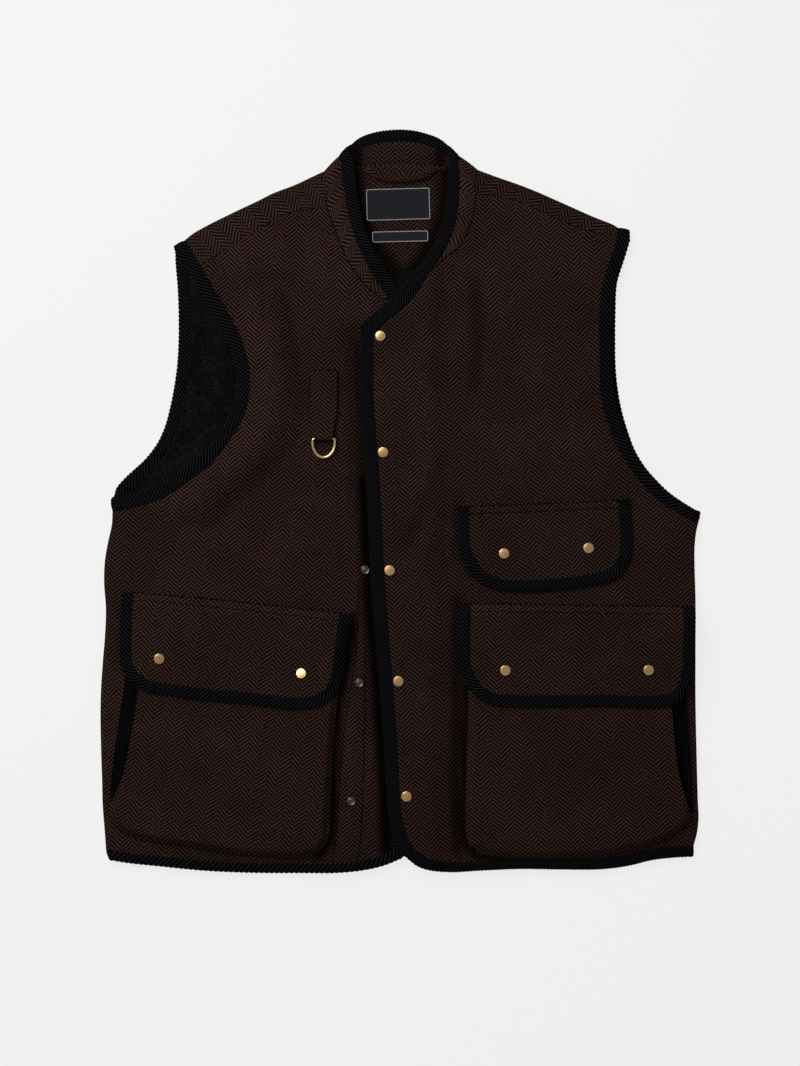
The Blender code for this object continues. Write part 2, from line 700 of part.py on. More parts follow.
def build_facing(back_collar):
    """The tweed facing inside the back neck, below the collar."""
    neck = [toward(seam, braid_seam, -FACING_NECK_CLEAR)
            for braid_seam, edge, seam in back_collar[1:-1]]
    start = BOARD_CENTRE[0] - FACING_HALF_WIDTH
    stop = BOARD_CENTRE[0] + FACING_HALF_WIDTH
    corners = [(stop, FACING_TOP), (stop, FACING_DOWN), (start, FACING_DOWN),
               (start, FACING_TOP)]
    flat_piece("back_facing", "tweed", neck + corners, ON_BACK, FACING)


def build_collar(right, left, back_collar):
    """A ring of cloth: high on the fronts, low behind the neck, rolled between."""
    wall = Wall()
    rows = []

    def section(course, turn, lift=no_lift, outward=STRAIGHT):
        braid_seam, edge, seam = course
        free = toward(braid_seam, seam, GAP)
        rows.append([wall.turned_point(place, outward, turn, lift(place))
                     for place in (seam, mix(seam, free, 0.5), free)])

    for course in right.collar + right.collar_top[1:-1]:
        section(course, HIGH, right.lift)
    for course, turns in ((back_collar[0], (HIGH, LOW)), (back_collar[-1], (LOW, HIGH))):
        outward = out_from_middle(course[2], course[0])
        if course is back_collar[-1]:
            for between in back_collar[1:-1]:
                section(between, LOW)
        for share in even(ROLL_STEPS):
            section(course, turns[0] + (turns[1] - turns[0]) * share, no_lift, outward)
    for course in reversed(left.collar + left.collar_top[1:-1]):
        section(course, HIGH, left.lift)
    wall.net(rows)
    return wall.build("collar", "tweed")


# The bindings

def neck_roll(course, start, end):
    seam, edge = course[:2]
    return roll_stops(seam, edge, start, end, out_from_middle(seam, edge))


def build_neck_braid(right, left, back_collar):
    stops = layer_stops(right.end[:-1] + right.collar + right.collar_top[1:-1], HIGH, right.lift)
    stops += neck_roll(back_collar[0], HIGH, LOW)
    stops += layer_stops(back_collar[1:-1], LOW)
    stops += neck_roll(back_collar[-1], LOW, HIGH)
    rising = left.end[:-1] + left.collar + left.collar_top[1:-1]
    stops += layer_stops(list(reversed(rising)), HIGH, left.lift)
    return braid("binding_neck", stops)


def build_front_braid(name, half):
    pairs = half.edge + half.hem[1:]
    last = tuple(toward(place, before, GAP) for place, before in zip(pairs[-1], pairs[-2]))
    return braid(name, layer_stops(pairs[:-1] + [last], HIGH, half.lift))


def build_back_hem_braid(hem_pairs):
    stops = roll_stops(*hem_pairs[0], HIGH, LOW, (RIGHT["side"], 0.0))
    stops += layer_stops(hem_pairs[1:-1], LOW)
    stops += roll_stops(*hem_pairs[-1], LOW, HIGH, (LEFT["side"], 0.0))
    return braid("binding_hem_back", stops)


def build_armhole_braid(name, half):
    stops = layer_stops(half.armhole[1:] + half.tip[1:-1], HIGH, half.lift)
    stops += roll_stops(*half.tip[-1], HIGH, LOW, out_from_middle(*half.tip[-1]))
    stops += layer_stops(list(reversed(half.back_armhole[1:-1])), LOW)
    stops += roll_stops(*half.armhole[0], LOW, HIGH, (half.side, 0.0))
    return braid(name, stops, closed=True)


# Pockets and flaps. Each side of an outline runs from the bottom up, or across.

POCKET_ACROSS = [0, .02, .045, .1, .2, .35, .5, .65, .8, .9, .955, .98, 1]
POCKET_UP = [0, .018, .04, .09, .2, .4, .6, .8, 1]

POCKET_RIGHT = {
    "left": [(113, 822), (109.5, 810), (113, 799), (121, 783), (129.5, 748.6), (139, 690),
             (152, 612)],
    "right": [(322, 849), (328, 838), (330, 809), (332, 766), (335, 722), (337.5, 699),
              (340, 628)],
    "bottom": [(113, 822), (119, 829), (131, 836), (150, 841), (182, 845), (215, 851),
               (247, 854.5), (280, 857.5), (305, 857), (315, 854.5), (322, 849)],
    "top": [(152, 612), (340, 628)],
    "sewn": [(340, 628), (337.5, 699), (335, 722), (332, 766), (330, 809), (328, 838),
             (322, 849), (315, 854.5), (305, 857), (280, 857.5), (247, 854.5), (215, 851),
             (182, 845), (150, 841), (131, 836), (119, 829), (113, 822), (109.5, 810),
             (113, 799)],
}
POCKET_LEFT = {
    "left": [(470, 846), (466.5, 835), (465.7, 800), (467, 750), (468.5, 690), (469, 617)],
    "right": [(684, 828), (690, 820), (690, 813), (684.6, 797), (679, 777), (675, 750),
              (671, 704), (664, 617)],
    "bottom": [(470, 846), (480, 852), (495, 856.5), (520, 858.3), (560, 858), (590, 856.3),
               (616, 853), (643, 846.8), (665, 839), (678, 832), (684, 828)],
    "top": [(469, 617), (664, 617)],
    "sewn": [(469, 617), (468.5, 690), (467, 750), (465.7, 800), (466.5, 835), (470, 846),
             (480, 852), (495, 856.5), (520, 858.3), (560, 858), (590, 856.3), (616, 853),
             (643, 846.8), (665, 839), (678, 832), (684, 828), (690, 820), (690, 813)],
}
# Ribbed sides of the hand openings, under the pockets' free edges
GUSSET_RIGHT = {
    "left": [(110.2, 798), (112, 775), (119, 722), (125, 682), (129, 630)],
    "right": [(112.4, 796), (119, 780), (131, 757), (137, 735), (146, 690), (157, 630)],
    "bottom": [(110.2, 798), (112.4, 796)],
    "top": [(129, 630), (157, 630)],
}
GUSSET_LEFT = {
    "left": [(690.8, 811), (685, 794), (673, 765), (669.5, 750), (665, 704), (658, 630)],
    "right": [(692.6, 812), (691, 777), (689.7, 750), (686, 704), (684, 630)],
    "bottom": [(690.8, 811), (692.6, 812)],
    "top": [(658, 630), (684, 630)],
}

GUSSET_ROWS = 9

FLAP_ACROSS = [0, .06, .12, .25, .5, .75, .88, .94, 1]
FLAP_UP = [0, .15, .35, .6, .78, .84, .89, .94, 1]

FLAP_RIGHT = {
    "left": [(138, 672), (133, 663), (131.8, 645), (134, 592)],
    "right": [(326, 688), (331, 677), (334.5, 650), (340, 612)],
    "bottom": [(138, 672), (150, 680), (175, 684.5), (200, 688), (250, 692.5), (300, 697.5),
               (315, 695.5), (326, 688)],
    "top": [(134, 592), (200, 597.5), (270, 604.5), (340, 612)],
    "inner": ((341, 690), (352.7, 613)),
}
FLAP_LEFT = {
    "left": [(480.5, 685), (471, 668), (470, 640), (470, 603)],
    "right": [(671, 692.5), (678, 683), (681.5, 670), (682.5, 645), (683.5, 606)],
    "bottom": [(480.5, 685), (487, 690), (496, 693.5), (515, 695), (560, 695), (600, 694.5),
               (640, 695.5), (660, 695), (671, 692.5)],
    "top": [(470, 603), (540, 604), (610, 605), (683.5, 606)],
    "inner": ((458, 603), (458, 690)),
}
FLAP_CHEST = {
    "left": [(480.5, 567), (472.5, 554), (469.3, 540), (469, 506)],
    "right": [(613, 566.5), (618.5, 558), (620.3, 545), (619.5, 520), (618, 500)],
    "bottom": [(480.5, 567), (488, 574), (500, 579), (520, 580), (545, 579.5), (570, 577.5),
               (590, 574), (605, 571), (613, 566.5)],
    "top": [(469, 506), (520, 504), (570, 502), (618, 500)],
}


def fill_outline(outline, across_shares, up_shares):
    return coons(smooth_rows(outline["bottom"], across_shares),
                 smooth_rows(outline["top"], across_shares),
                 smooth_rows(outline["left"], up_shares),
                 smooth_rows(outline["right"], up_shares))


def build_pocket(name, outline):
    """A patch pocket: sewn down at its closed sides, free at its mouth and hand opening."""
    def under(place):
        return ON_PANEL + POCKET_LIFT * ease(distance_to(outline["sewn"], place) / POCKET_EDGE)

    rows = fill_outline(outline, POCKET_ACROSS, POCKET_UP)
    return lay_wall(name, "tweed", rows, under, CLOTH)


def build_gusset(name, outline):
    rows = fill_outline(outline, even(1), even(GUSSET_ROWS))
    return lay_wall(name, "rib", rows, lambda place: ON_PANEL, GUSSET)


def build_flap(name, outline, rise):
    """A flap sewn along its top edge, bound on its other three."""
    seam = (outline["top"][0], outline["top"][-1])

    def under(place):
        climb = ease(beyond(seam, place) / FLAP_EDGE)
        sink = 0.0
        if "inner" in outline:
            width = abs(beyond(outline["inner"], place))
            sink = FLAP_DROOP * (1 - ease(width / FLAP_DROOP_WIDTH))
        return ON_PANEL + (rise - sink) * climb

    rows = fill_outline(outline, FLAP_ACROSS, FLAP_UP)
    lay_wall(name, "tweed", rows, under, CLOTH)
    left_edge = [row[0] for row in reversed(rows)]
    right_edge = [row[-1] for row in rows]
    seams = left_edge + rows[0][1:] + right_edge[1:]
    lay_braid("binding_" + name, seams, offset(seams, -FLAP_BRAID_WIDTH), under)


# Ring and its tab, hanger loop and labels

RING_ACROSS = 323.7       # the ring's middle
BAR_DOWN = 439            # its straight bar, the axis it lifts about
BAR_LEVEL = 10.6
RING_WIRE = 1.2           # radius
RING_LENGTH = 18.4        # from the bar to the middle of the bow's wire
RING_SIDES = 8
BOW_STEPS = 14
# The wire from the bar's end to the bow's start: from the ring's middle, from the bar
RING_LEG = [(9.65, 0.0), (10.7, 0.4), (11.15, 1.6), (11.15, 4.0)]

TAB_CLOTH = 1.1
TAB_HALF_WIDTH = 13.2     # at its sewn end
TAB_FOLD_HALF_WIDTH = 9.2
TAB_TURN = 2.3            # radius of the cloth's middle round the bar
TAB_TURN_FROM = 115       # degrees up from straight down the vest, and as far below
TAB_TURN_STEPS = 8
# The middles of its two layers, from the sewn end to the turn: down, level
TAB_UPPER = [(371, 9.65), (400, 9.85), (424, 10.45), (433, 11.95)]
TAB_LOWER = [(371, 8.25), (400, 8.35), (424, 8.5), (433, 9.25)]


def build_ring():
    """A wire bow on a straight bar, at rest with the bow's end on the panel."""
    drop = BAR_LEVEL - (ON_PANEL + RING_WIRE)
    slope = math.asin(drop / RING_LENGTH)
    path = [(-across, along) for across, along in RING_LEG]
    half, straight = RING_LEG[-1]
    for step in range(1, BOW_STEPS):
        angle = math.pi * step / BOW_STEPS
        path.append((-half * math.cos(angle),
                     straight + (RING_LENGTH - straight) * math.sin(angle)))
    path += reversed(RING_LEG)
    rings = []
    for place, (from_middle, from_bar) in enumerate(path):
        way = unit(path[place - 1], path[(place + 1) % len(path)])
        ring = []
        for side in range(RING_SIDES):
            angle = 2 * math.pi * (side + 0.5) / RING_SIDES
            flat = RING_WIRE * math.cos(angle)
            rise = RING_WIRE * math.sin(angle)
            reach = from_bar - way[0] * flat
            down = reach * math.cos(slope) + rise * math.sin(slope)
            level = -reach * math.sin(slope) + rise * math.cos(slope)
            ring.append((RING_ACROSS + from_middle + way[1] * flat, BAR_DOWN + down,
                         BAR_LEVEL + level))
        rings.append(ring)
    axis = metres(RING_ACROSS, BAR_DOWN, BAR_LEVEL)
    return sweep("d_ring", "brass", rings, closed=True, origin=axis)


def build_tab():
    """A doubled strip of tweed, sewn at its top end and folded round the ring's bar."""
    path = list(TAB_UPPER)
    for share in even(TAB_TURN_STEPS):
        angle = math.radians(TAB_TURN_FROM * (1 - 2 * share))
        path.append((BAR_DOWN + TAB_TURN * math.cos(angle),
                     BAR_LEVEL + TAB_TURN * math.sin(angle)))
    path += reversed(TAB_LOWER)
    sewn = TAB_UPPER[0][0]
    wall = Wall()
    rows = []
    for place, (down, level) in enumerate(path):
        way = unit(path[max(place - 1, 0)], path[min(place + 1, len(path) - 1)])
        out = (-way[1] * TAB_CLOTH / 2, way[0] * TAB_CLOTH / 2)
        share = min((down - sewn) / (BAR_DOWN - sewn), 1.0)
        half = TAB_HALF_WIDTH + (TAB_FOLD_HALF_WIDTH - TAB_HALF_WIDTH) * share
        line = []
        for side in (-1, 1):
            across = RING_ACROSS + side * half
            line.append(wall.point((across, down + out[0], level + out[1]),
                                   (across, down - out[0], level - out[1])))
        rows.append(line)
    wall.net(rows)
    return wall.build("ring_tab", "tweed")


HANGER = {"path": [(367.5, 166.5), (375, 172.6), (386, 176), (400, 177.2), (414, 176),
                   (426, 172.6), (433.5, 166.5)], "half_width": 4.2, "thickness": 1.4}
LABELS = {
    # name: middle across, middle down, width, height, slope in degrees
    "label_main": (398.2, 203.9, 64, 32, 1.6),
    "label_size": (400.2, 236.2, 56.5, 11.3, 1.3),
}


def build_hanger():
    centre = smooth(HANGER["path"], 12)
    rows = [offset(centre, HANGER["half_width"]), offset(centre, -HANGER["half_width"])]
    return lay_wall("hanger_loop", "tweed", rows, lambda place: ON_FACING, HANGER["thickness"])


def build_label(name, across, down, width, height, slope):
    """A woven label, left bare."""
    turn = math.radians(slope)
    outline = []
    for x, y in ((-1, -1), (1, -1), (1, 1), (-1, 1)):
        right = x * width / 2
        below = y * height / 2
        outline.append((across + right * math.cos(turn) + below * math.sin(turn),
                        down - right * math.sin(turn) + below * math.cos(turn)))
    return flat_piece(name, "label", outline, ON_FACING, LABEL)


# Metal snap fastenings

ON_OVERLAP = ON_PANEL + OVERLAP_LIFT
ON_FLAP = ON_PANEL + FLAP_RISE + CLOTH + GAP
ON_CHEST_FLAP = ON_PANEL + CLOTH + GAP
SNAP_SIDES = 16
# radius, height above the cloth, from the middle of the top down to the cloth
CAP_PROFILE = [(1.6, 1.62), (3.2, 1.42), (4.5, 0.95), (5.2, 0.35), (5.3, 0.0)]
STUD_PROFILE = [(1.0, 1.75), (1.7, 1.6), (1.9, 0.75), (3.3, 0.6), (4.2, 0.35), (4.4, 0.0)]

SNAP_CAPS = {
    # name: across, down, level
    "cap_front_1": (380.4, 336.2, ON_OVERLAP),
    "cap_front_2": (383.1, 452.3, ON_OVERLAP),
    "cap_front_3": (389.6, 570.4, ON_OVERLAP),
    "cap_front_4": (398.4, 680.9, ON_OVERLAP),
    "cap_front_5": (406.4, 796, ON_OVERLAP),
    "cap_chest_1": (504, 553.5, ON_CHEST_FLAP),
    "cap_chest_2": (588.4, 548, ON_CHEST_FLAP),
    "cap_left_1": (505.1, 670, ON_FLAP),
    "cap_left_2": (647.8, 669.7, ON_FLAP),
    "cap_right_1": (159.8, 658.4, ON_FLAP),
    "cap_right_2": (301.5, 673, ON_FLAP),
}
SNAP_STUDS = {
    "stud_front_3": (365.3, 569.8, ON_PANEL),
    "stud_front_4": (359.2, 682.8, ON_PANEL),
    "stud_front_5": (351.2, 801, ON_PANEL),
}


def build_snap(name, look, profile, across, down, level):
    """A turned metal piece, closed at its top and its foot."""
    shape = bmesh.new()
    rings = []
    for radius, height in profile:
        ring = []
        for side in range(SNAP_SIDES):
            angle = 2 * math.pi * side / SNAP_SIDES
            ring.append(shape.verts.new(metres(across + radius * math.cos(angle),
                                               down + radius * math.sin(angle),
                                               level + height)))
        rings.append(ring)
    for one, other in zip(rings, rings[1:]):
        for side in range(SNAP_SIDES):
            after = (side + 1) % SNAP_SIDES
            shape.faces.new((one[side], one[after], other[after], other[side]))
    shape.faces.new(rings[0])
    shape.faces.new(rings[-1])
    return place_object(name, shape, look)


# Assembly

right_half = Half(RIGHT, right_lift)
left_half = Half(LEFT, left_lift)
back_neck = courses(BACK_COLLAR, even(BACK_NECK_COLUMNS))

# The back's hem is read at its ends, at the side seams and evenly between
back_columns = len(right_half.top) + len(back_neck) + len(left_half.top) - 1
between_sides = [SIDE_SHARE + (1 - 2 * SIDE_SHARE) * share for share in even(back_columns)]
back_hem = courses(BACK_HEM, [0] + between_sides + [1])

build_back(right_half, left_half, back_neck, back_hem)
build_lining(right_half, left_half)
build_facing(back_neck)
build_front("front_right", right_half)
build_front("front_left", left_half)
build_collar(right_half, left_half, back_neck)

build_neck_braid(right_half, left_half, back_neck)
build_front_braid("binding_front_right", right_half)
build_front_braid("binding_front_left", left_half)
build_back_hem_braid(back_hem)
build_armhole_braid("binding_armhole_right", right_half)
build_armhole_braid("binding_armhole_left", left_half)

build_pocket("pocket_right", POCKET_RIGHT)
build_pocket("pocket_left", POCKET_LEFT)
build_gusset("gusset_right", GUSSET_RIGHT)
build_gusset("gusset_left", GUSSET_LEFT)
build_flap("flap_right", FLAP_RIGHT, FLAP_RISE)
build_flap("flap_left", FLAP_LEFT, FLAP_RISE)
build_flap("flap_chest", FLAP_CHEST, 0.0)

build_tab()
build_ring()
build_hanger()
for label, sizes in LABELS.items():
    build_label(label, *sizes)
for cap, spot in SNAP_CAPS.items():
    build_snap(cap, "brass", CAP_PROFILE, *spot)
for stud, spot in SNAP_STUDS.items():
    build_snap(stud, "steel", STUD_PROFILE, *spot)
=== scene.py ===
# A shooting vest laid flat: herringbone tweed, ribbed black bindings, brass snaps and a ring.
import math

import bmesh
import bpy
from mathutils import Matrix, Vector, noise


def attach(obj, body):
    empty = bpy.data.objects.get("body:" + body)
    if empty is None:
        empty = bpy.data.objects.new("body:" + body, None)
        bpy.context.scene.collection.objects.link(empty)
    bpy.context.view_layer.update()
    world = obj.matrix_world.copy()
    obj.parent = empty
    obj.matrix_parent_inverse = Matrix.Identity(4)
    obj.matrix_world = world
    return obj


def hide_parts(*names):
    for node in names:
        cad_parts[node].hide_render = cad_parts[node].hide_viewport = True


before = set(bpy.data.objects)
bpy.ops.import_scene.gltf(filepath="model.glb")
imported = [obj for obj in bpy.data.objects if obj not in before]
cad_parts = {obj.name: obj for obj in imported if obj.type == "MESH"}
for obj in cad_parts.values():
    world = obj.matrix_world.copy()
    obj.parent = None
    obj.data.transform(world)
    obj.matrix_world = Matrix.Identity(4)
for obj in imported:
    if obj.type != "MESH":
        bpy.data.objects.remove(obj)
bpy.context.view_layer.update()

# Places are millimetres on a laying board seen from above: across from its left edge and
# down from its top edge, with levels above the floor. The wearer's right side is on the left.
mm = 0.001
board = {"middle": (400.53, 501.02), "pictured": (400, 533), "height": 1066}

cloth = {
    "panel": 2.4, "braid": 3.2, "lining": 1.9, "facing": 1.5, "label": 0.7, "rib": 2.0,
    "tab": 1.1,
    "gap": 0.3,        # between two pieces that are sewn or lie together
    "upper": 5.0,      # underside of what lies over the back
    "underTurn": 8,    # the fronts reach this far under, to the side seams
}
panelTop = cloth["upper"] + cloth["panel"]
onPanel = panelTop + cloth["gap"]
onBack = cloth["panel"] + cloth["gap"]
onFacing = onBack + cloth["facing"] + cloth["gap"]

scene = bpy.context.scene
scene.view_settings.view_transform = "Standard"


# Camera, light and floor

studio = {
    "lens": 100, "sensor": 36, "sight": 50, "clothLevel": 8,
    "skyTop": 0.26, "skySide": 0.42, "skyFrom": 0.35,
    "lampPower": 48, "lampSize": 1.8, "lampFar": 2.2, "lampWay": (-0.58, 0.60, 0.80),
    "floor": 0.10, "glow": 0.79, "floorSize": 12, "floorLevel": -0.0005,
}


def onBoard(across, down, level):
    return Vector(((across - board["middle"][0]) * mm, (board["middle"][1] - down) * mm,
                   level * mm))


def addCamera():
    data = bpy.data.cameras.new("camera")
    data.lens = studio["lens"]
    data.sensor_width = studio["sensor"]
    data.clip_end = studio["sight"]
    camera = bpy.data.objects.new("camera", data)
    reach = data.lens / data.sensor_width * board["height"]
    camera.location = onBoard(*board["pictured"], studio["clothLevel"] + reach)
    scene.collection.objects.link(camera)
    scene.camera = camera


def addLight():
    data = bpy.data.lights.new("window", "AREA")
    data.shape = "DISK"
    data.energy = studio["lampPower"]
    data.size = studio["lampSize"]
    window = bpy.data.objects.new("window", data)
    outwards = Vector(studio["lampWay"]).normalized()
    window.location = outwards * studio["lampFar"]
    window.rotation_euler = outwards.to_track_quat("Z", "Y").to_euler()
    scene.collection.objects.link(window)
    world = bpy.data.worlds.new("studio")
    scene.world = world
    world.use_nodes = True
    tree = world.node_tree
    way = tree.nodes.new("ShaderNodeTexCoord")
    parts = tree.nodes.new("ShaderNodeSeparateXYZ")
    tone = tree.nodes.new("ShaderNodeMapRange")
    tone.inputs["From Min"].default_value = studio["skyFrom"]
    tone.inputs["To Min"].default_value = studio["skySide"]
    tone.inputs["To Max"].default_value = studio["skyTop"]
    tree.links.new(way.outputs["Generated"], parts.inputs[0])
    tree.links.new(parts.outputs["Z"], tone.inputs["Value"])
    tree.links.new(tone.outputs["Result"], tree.nodes["Background"].inputs["Strength"])
    tree.nodes["Background"].inputs["Color"].default_value = (1, 1, 1, 1)


def addFloor():
    shape = bmesh.new()
    bmesh.ops.create_grid(shape, x_segments=1, y_segments=1, size=studio["floorSize"] / 2)
    bmesh.ops.translate(shape, verts=shape.verts, vec=(0, 0, studio["floorLevel"] * mm))
    mesh = bpy.data.meshes.new("floor")
    shape.to_mesh(mesh)
    shape.free()
    material = bpy.data.materials.new("paper")
    material.use_nodes = True
    shader = material.node_tree.nodes["Principled BSDF"]
    shader.inputs["Base Color"].default_value = (*[studio["floor"]] * 3, 1)
    shader.inputs["Roughness"].default_value = 1.0
    shader.inputs["Specular IOR Level"].default_value = 0.0
    shader.inputs["Emission Color"].default_value = (1, 1, 1, 1)
    shader.inputs["Emission Strength"].default_value = studio["glow"]
    mesh.materials.append(material)
    floor = bpy.data.objects.new("floor", mesh)
    scene.collection.objects.link(floor)


addCamera()
addLight()
addFloor()
print("camera, light and floor are set")


# Materials

def newGroup(name, inputs, outputs):
    group = bpy.data.node_groups.new(name, "ShaderNodeTree")
    for title, kind, value in inputs:
        socket = group.interface.new_socket(name=title, in_out="INPUT", socket_type=kind)
        if value is not None:
            socket.default_value = value
    for title, kind in outputs:
        group.interface.new_socket(name=title, in_out="OUTPUT", socket_type=kind)
    return group, group.nodes.new("NodeGroupInput"), group.nodes.new("NodeGroupOutput")


def node(tree, kind, settings=(), **sockets):
    made = tree.nodes.new("ShaderNode" + kind)
    for name, value in dict(settings).items():
        setattr(made, name, value)
    for name, value in sockets.items():
        socket = made.inputs[int(name[1:]) if name[1:].isdigit() else name.replace("_", " ")]
        if isinstance(value, bpy.types.NodeSocket):
            tree.links.new(value, socket)
        else:
            socket.default_value = value
    return made


def sums(tree, operation, first, second=0.0, third=0.0):
    made = node(tree, "Math", {"operation": operation}, i0=first, i1=second, i2=third)
    return made.outputs[0]


def ramp(tree, value, low, high, lowTone=0.0, highTone=1.0):
    made = node(tree, "MapRange", {"interpolation_type": "SMOOTHSTEP"}, Value=value,
                From_Min=low, From_Max=high, To_Min=lowTone, To_Max=highTone)
    return made.outputs["Result"]


def blendColour(tree, share, first, second, way="MIX"):
    made = node(tree, "Mix", {"data_type": "RGBA", "blend_type": way}, i0=share, i6=first,
                i7=second)
    return made.outputs[2]


def toned(colour, tone=1.0):
    return (*[part * tone for part in colour], 1.0)


tweedLook = {
    # linear colours of the dark yarn, and of the three that cross it
    "dark": (0.0032, 0.0018, 0.0016), "brown": (0.0360, 0.0207, 0.0164),
    "red": (0.0445, 0.0166, 0.0140), "grey": (0.0340, 0.0268, 0.0222),
    "deepestShade": 0.1, "raised": 1.12,        # tones of painted shade at the bottom of a gutter and of painted highlight on a crest
    "column": 0.0110, "pitch": 0.0042, "step": 0.38, "slope": 0.9,
    "drift": 34.0, "driftBy": 0.0026,      # the threads wander by this much
    "fuzz": 950.0, "yarn": 250.0, "speck": 170.0, "patch": 16.0,
}
paintedShadingLook = {"trough": 0.26, "ridge": 0.04, "crest": -0.14}     # painted shade by a mm of trough and painted highlight by a mm of ridge; crest is the least, the fullest painted highlight


def surfaceNoise(tree, vector, scale, detail):
    return node(tree, "TexNoise", {"noise_dimensions": "2D"}, Vector=vector, Scale=scale,
                Detail=detail)


def herringboneGroup():
    # slanted strokes that change sides from one column to the next, with a small step between
    group, given, made = newGroup("herringbone", [
        ("Vector", "NodeSocketVector", None), ("Column", "NodeSocketFloat", 0.0105),
        ("Pitch", "NodeSocketFloat", 0.0045), ("Step", "NodeSocketFloat", 0.38),
    ], [("Stroke", "NodeSocketFloat"), ("Yarn", "NodeSocketFloat"),
        ("Height", "NodeSocketFloat")])
    drift = surfaceNoise(group, given.outputs["Vector"], tweedLook["drift"], 1.5)
    centred = node(group, "VectorMath", {"operation": "SUBTRACT"}, i0=drift.outputs["Color"],
                   i1=(0.5, 0.5, 0.5))
    small = node(group, "VectorMath", {"operation": "SCALE"}, i0=centred.outputs[0],
                 Scale=tweedLook["driftBy"])
    moved = node(group, "VectorMath", {"operation": "ADD"}, i0=given.outputs["Vector"],
                 i1=small.outputs[0])
    parts = node(group, "SeparateXYZ", i0=moved.outputs[0])
    across, along = parts.outputs["X"], parts.outputs["Y"]
    column = sums(group, "FLOOR", sums(group, "DIVIDE", across, given.outputs["Column"]))
    odd = sums(group, "FLOORED_MODULO", column, 2.0)
    slant = sums(group, "PINGPONG", across, given.outputs["Column"])
    rising = sums(group, "MULTIPLY_ADD", slant, tweedLook["slope"], along)
    phase = sums(group, "DIVIDE", rising, given.outputs["Pitch"])
    phase = sums(group, "ADD", phase, sums(group, "MULTIPLY", odd, given.outputs["Step"]))
    fuzz = surfaceNoise(group, given.outputs["Vector"], tweedLook["fuzz"], 2.0)
    wave = sums(group, "SINE", sums(group, "MULTIPLY", phase, 2 * math.pi))
    wave = sums(group, "ADD", wave, ramp(group, fuzz.outputs[0], 0.2, 0.8, -0.75, 0.75))
    stroke = ramp(group, wave, -0.55, 0.75)
    thread = surfaceNoise(group, given.outputs["Vector"], tweedLook["yarn"], 1.0)
    group.links.new(stroke, made.inputs["Stroke"])
    group.links.new(thread.outputs[0], made.inputs["Yarn"])
    height = sums(group, "MULTIPLY_ADD", fuzz.outputs[0], 0.5, stroke)
    group.links.new(height, made.inputs["Height"])
    return group


def nubGroup():
    # close knotted pile, or with a stretched vector the small hairs of a yarn
    group, given, made = newGroup("nub", [
        ("Vector", "NodeSocketVector", None), ("Scale", "NodeSocketFloat", 300.0),
    ], [("Nub", "NodeSocketFloat"), ("Patch", "NodeSocketFloat")])
    cells = node(group, "TexVoronoi", {"feature": "F1"}, Vector=given.outputs["Vector"],
                 Scale=given.outputs["Scale"], Randomness=1.0)
    fine = node(group, "TexNoise", Vector=given.outputs["Vector"],
                Scale=sums(group, "MULTIPLY", given.outputs["Scale"], 1.7), Detail=3.0)
    wide = node(group, "TexNoise", Vector=given.outputs["Vector"],
                Scale=sums(group, "MULTIPLY", given.outputs["Scale"], 0.12), Detail=2.0)
    knots = ramp(group, cells.outputs["Distance"], 0.1, 0.75, 1.0, 0.0)
    group.links.new(sums(group, "MULTIPLY", knots, ramp(group, fine.outputs[0], 0.2, 0.75)),
                    made.inputs["Nub"])
    group.links.new(wide.outputs[0], made.inputs["Patch"])
    return group


herringbone = herringboneGroup()
nub = nubGroup()


def newMaterial(name, roughness, metallic=0.0, specular=0.5):
    material = bpy.data.materials.new(name)
    material.use_nodes = True
    tree = material.node_tree
    shader = tree.nodes["Principled BSDF"]
    shader.inputs["Roughness"].default_value = roughness
    shader.inputs["Metallic"].default_value = metallic
    shader.inputs["Specular IOR Level"].default_value = specular
    return material, tree, shader


def grouped(tree, group, vector, **sockets):
    made = tree.nodes.new("ShaderNodeGroup")
    made.node_tree = group
    tree.links.new(vector, made.inputs["Vector"])
    for name, value in sockets.items():
        made.inputs[name].default_value = value
    return made


def bumped(tree, shader, height, distance):
    bump = node(tree, "Bump", Height=height, Strength=1.0, Distance=distance)
    tree.links.new(bump.outputs[0], shader.inputs["Normal"])


def tweedMaterial(name, tone):
    material, tree, shader = newMaterial(name, 0.95, specular=0.0)
    cut = node(tree, "UVMap", {"uv_map": "weave"}).outputs[0]
    weave = grouped(tree, herringbone, cut, Column=tweedLook["column"],
                    Pitch=tweedLook["pitch"], Step=tweedLook["step"])
    speck = surfaceNoise(tree, cut, tweedLook["speck"], 2.0)
    patch = surfaceNoise(tree, cut, tweedLook["patch"], 2.0)
    colours = {key: toned(tweedLook[key], tone) for key in ("dark", "brown", "red", "grey")}
    light = blendColour(tree, ramp(tree, weave.outputs["Yarn"], 0.48, 0.72), colours["brown"],
                        colours["grey"])
    light = blendColour(tree, ramp(tree, speck.outputs[0], 0.46, 0.66), light, colours["red"])
    colour = blendColour(tree, weave.outputs["Stroke"], colours["dark"], light)
    worn = ramp(tree, patch.outputs[0], 0.3, 0.7, 0.90, 1.10)
    colour = blendColour(tree, 1.0, colour, worn, "MULTIPLY")
    # painted shading from the folds: the colour is darker in troughs and gutters and lighter on
    # crests
    paintedShading = node(tree, "Attribute", {"attribute_name": "paintedShading"})
    sunk = ramp(tree, paintedShading.outputs["Fac"], paintedShadingLook["crest"], 1.0, tweedLook["raised"],
                tweedLook["deepestShade"])
    colour = blendColour(tree, 1.0, colour, sunk, "MULTIPLY")
    tree.links.new(colour, shader.inputs["Base Color"])
    bumped(tree, shader, weave.outputs["Height"], 0.00028)
    return material


braidLook = {
    # groove is the painted shade between the ribs, crest the painted highlight on them
    "groove": (0.0002, 0.0002, 0.0004), "crest": (0.0150, 0.0138, 0.0172),
    "sides": 18, "step": 0.55, "power": 0.66, "tuck": 0.7, "liftAt": 0.35,
    "height": 0.85, "ribPower": 0.7, "ribMiddle": 0.75,
    "passOver": 9, "turnOver": 5,      # half the stretches over which it turns, neck and arm
}


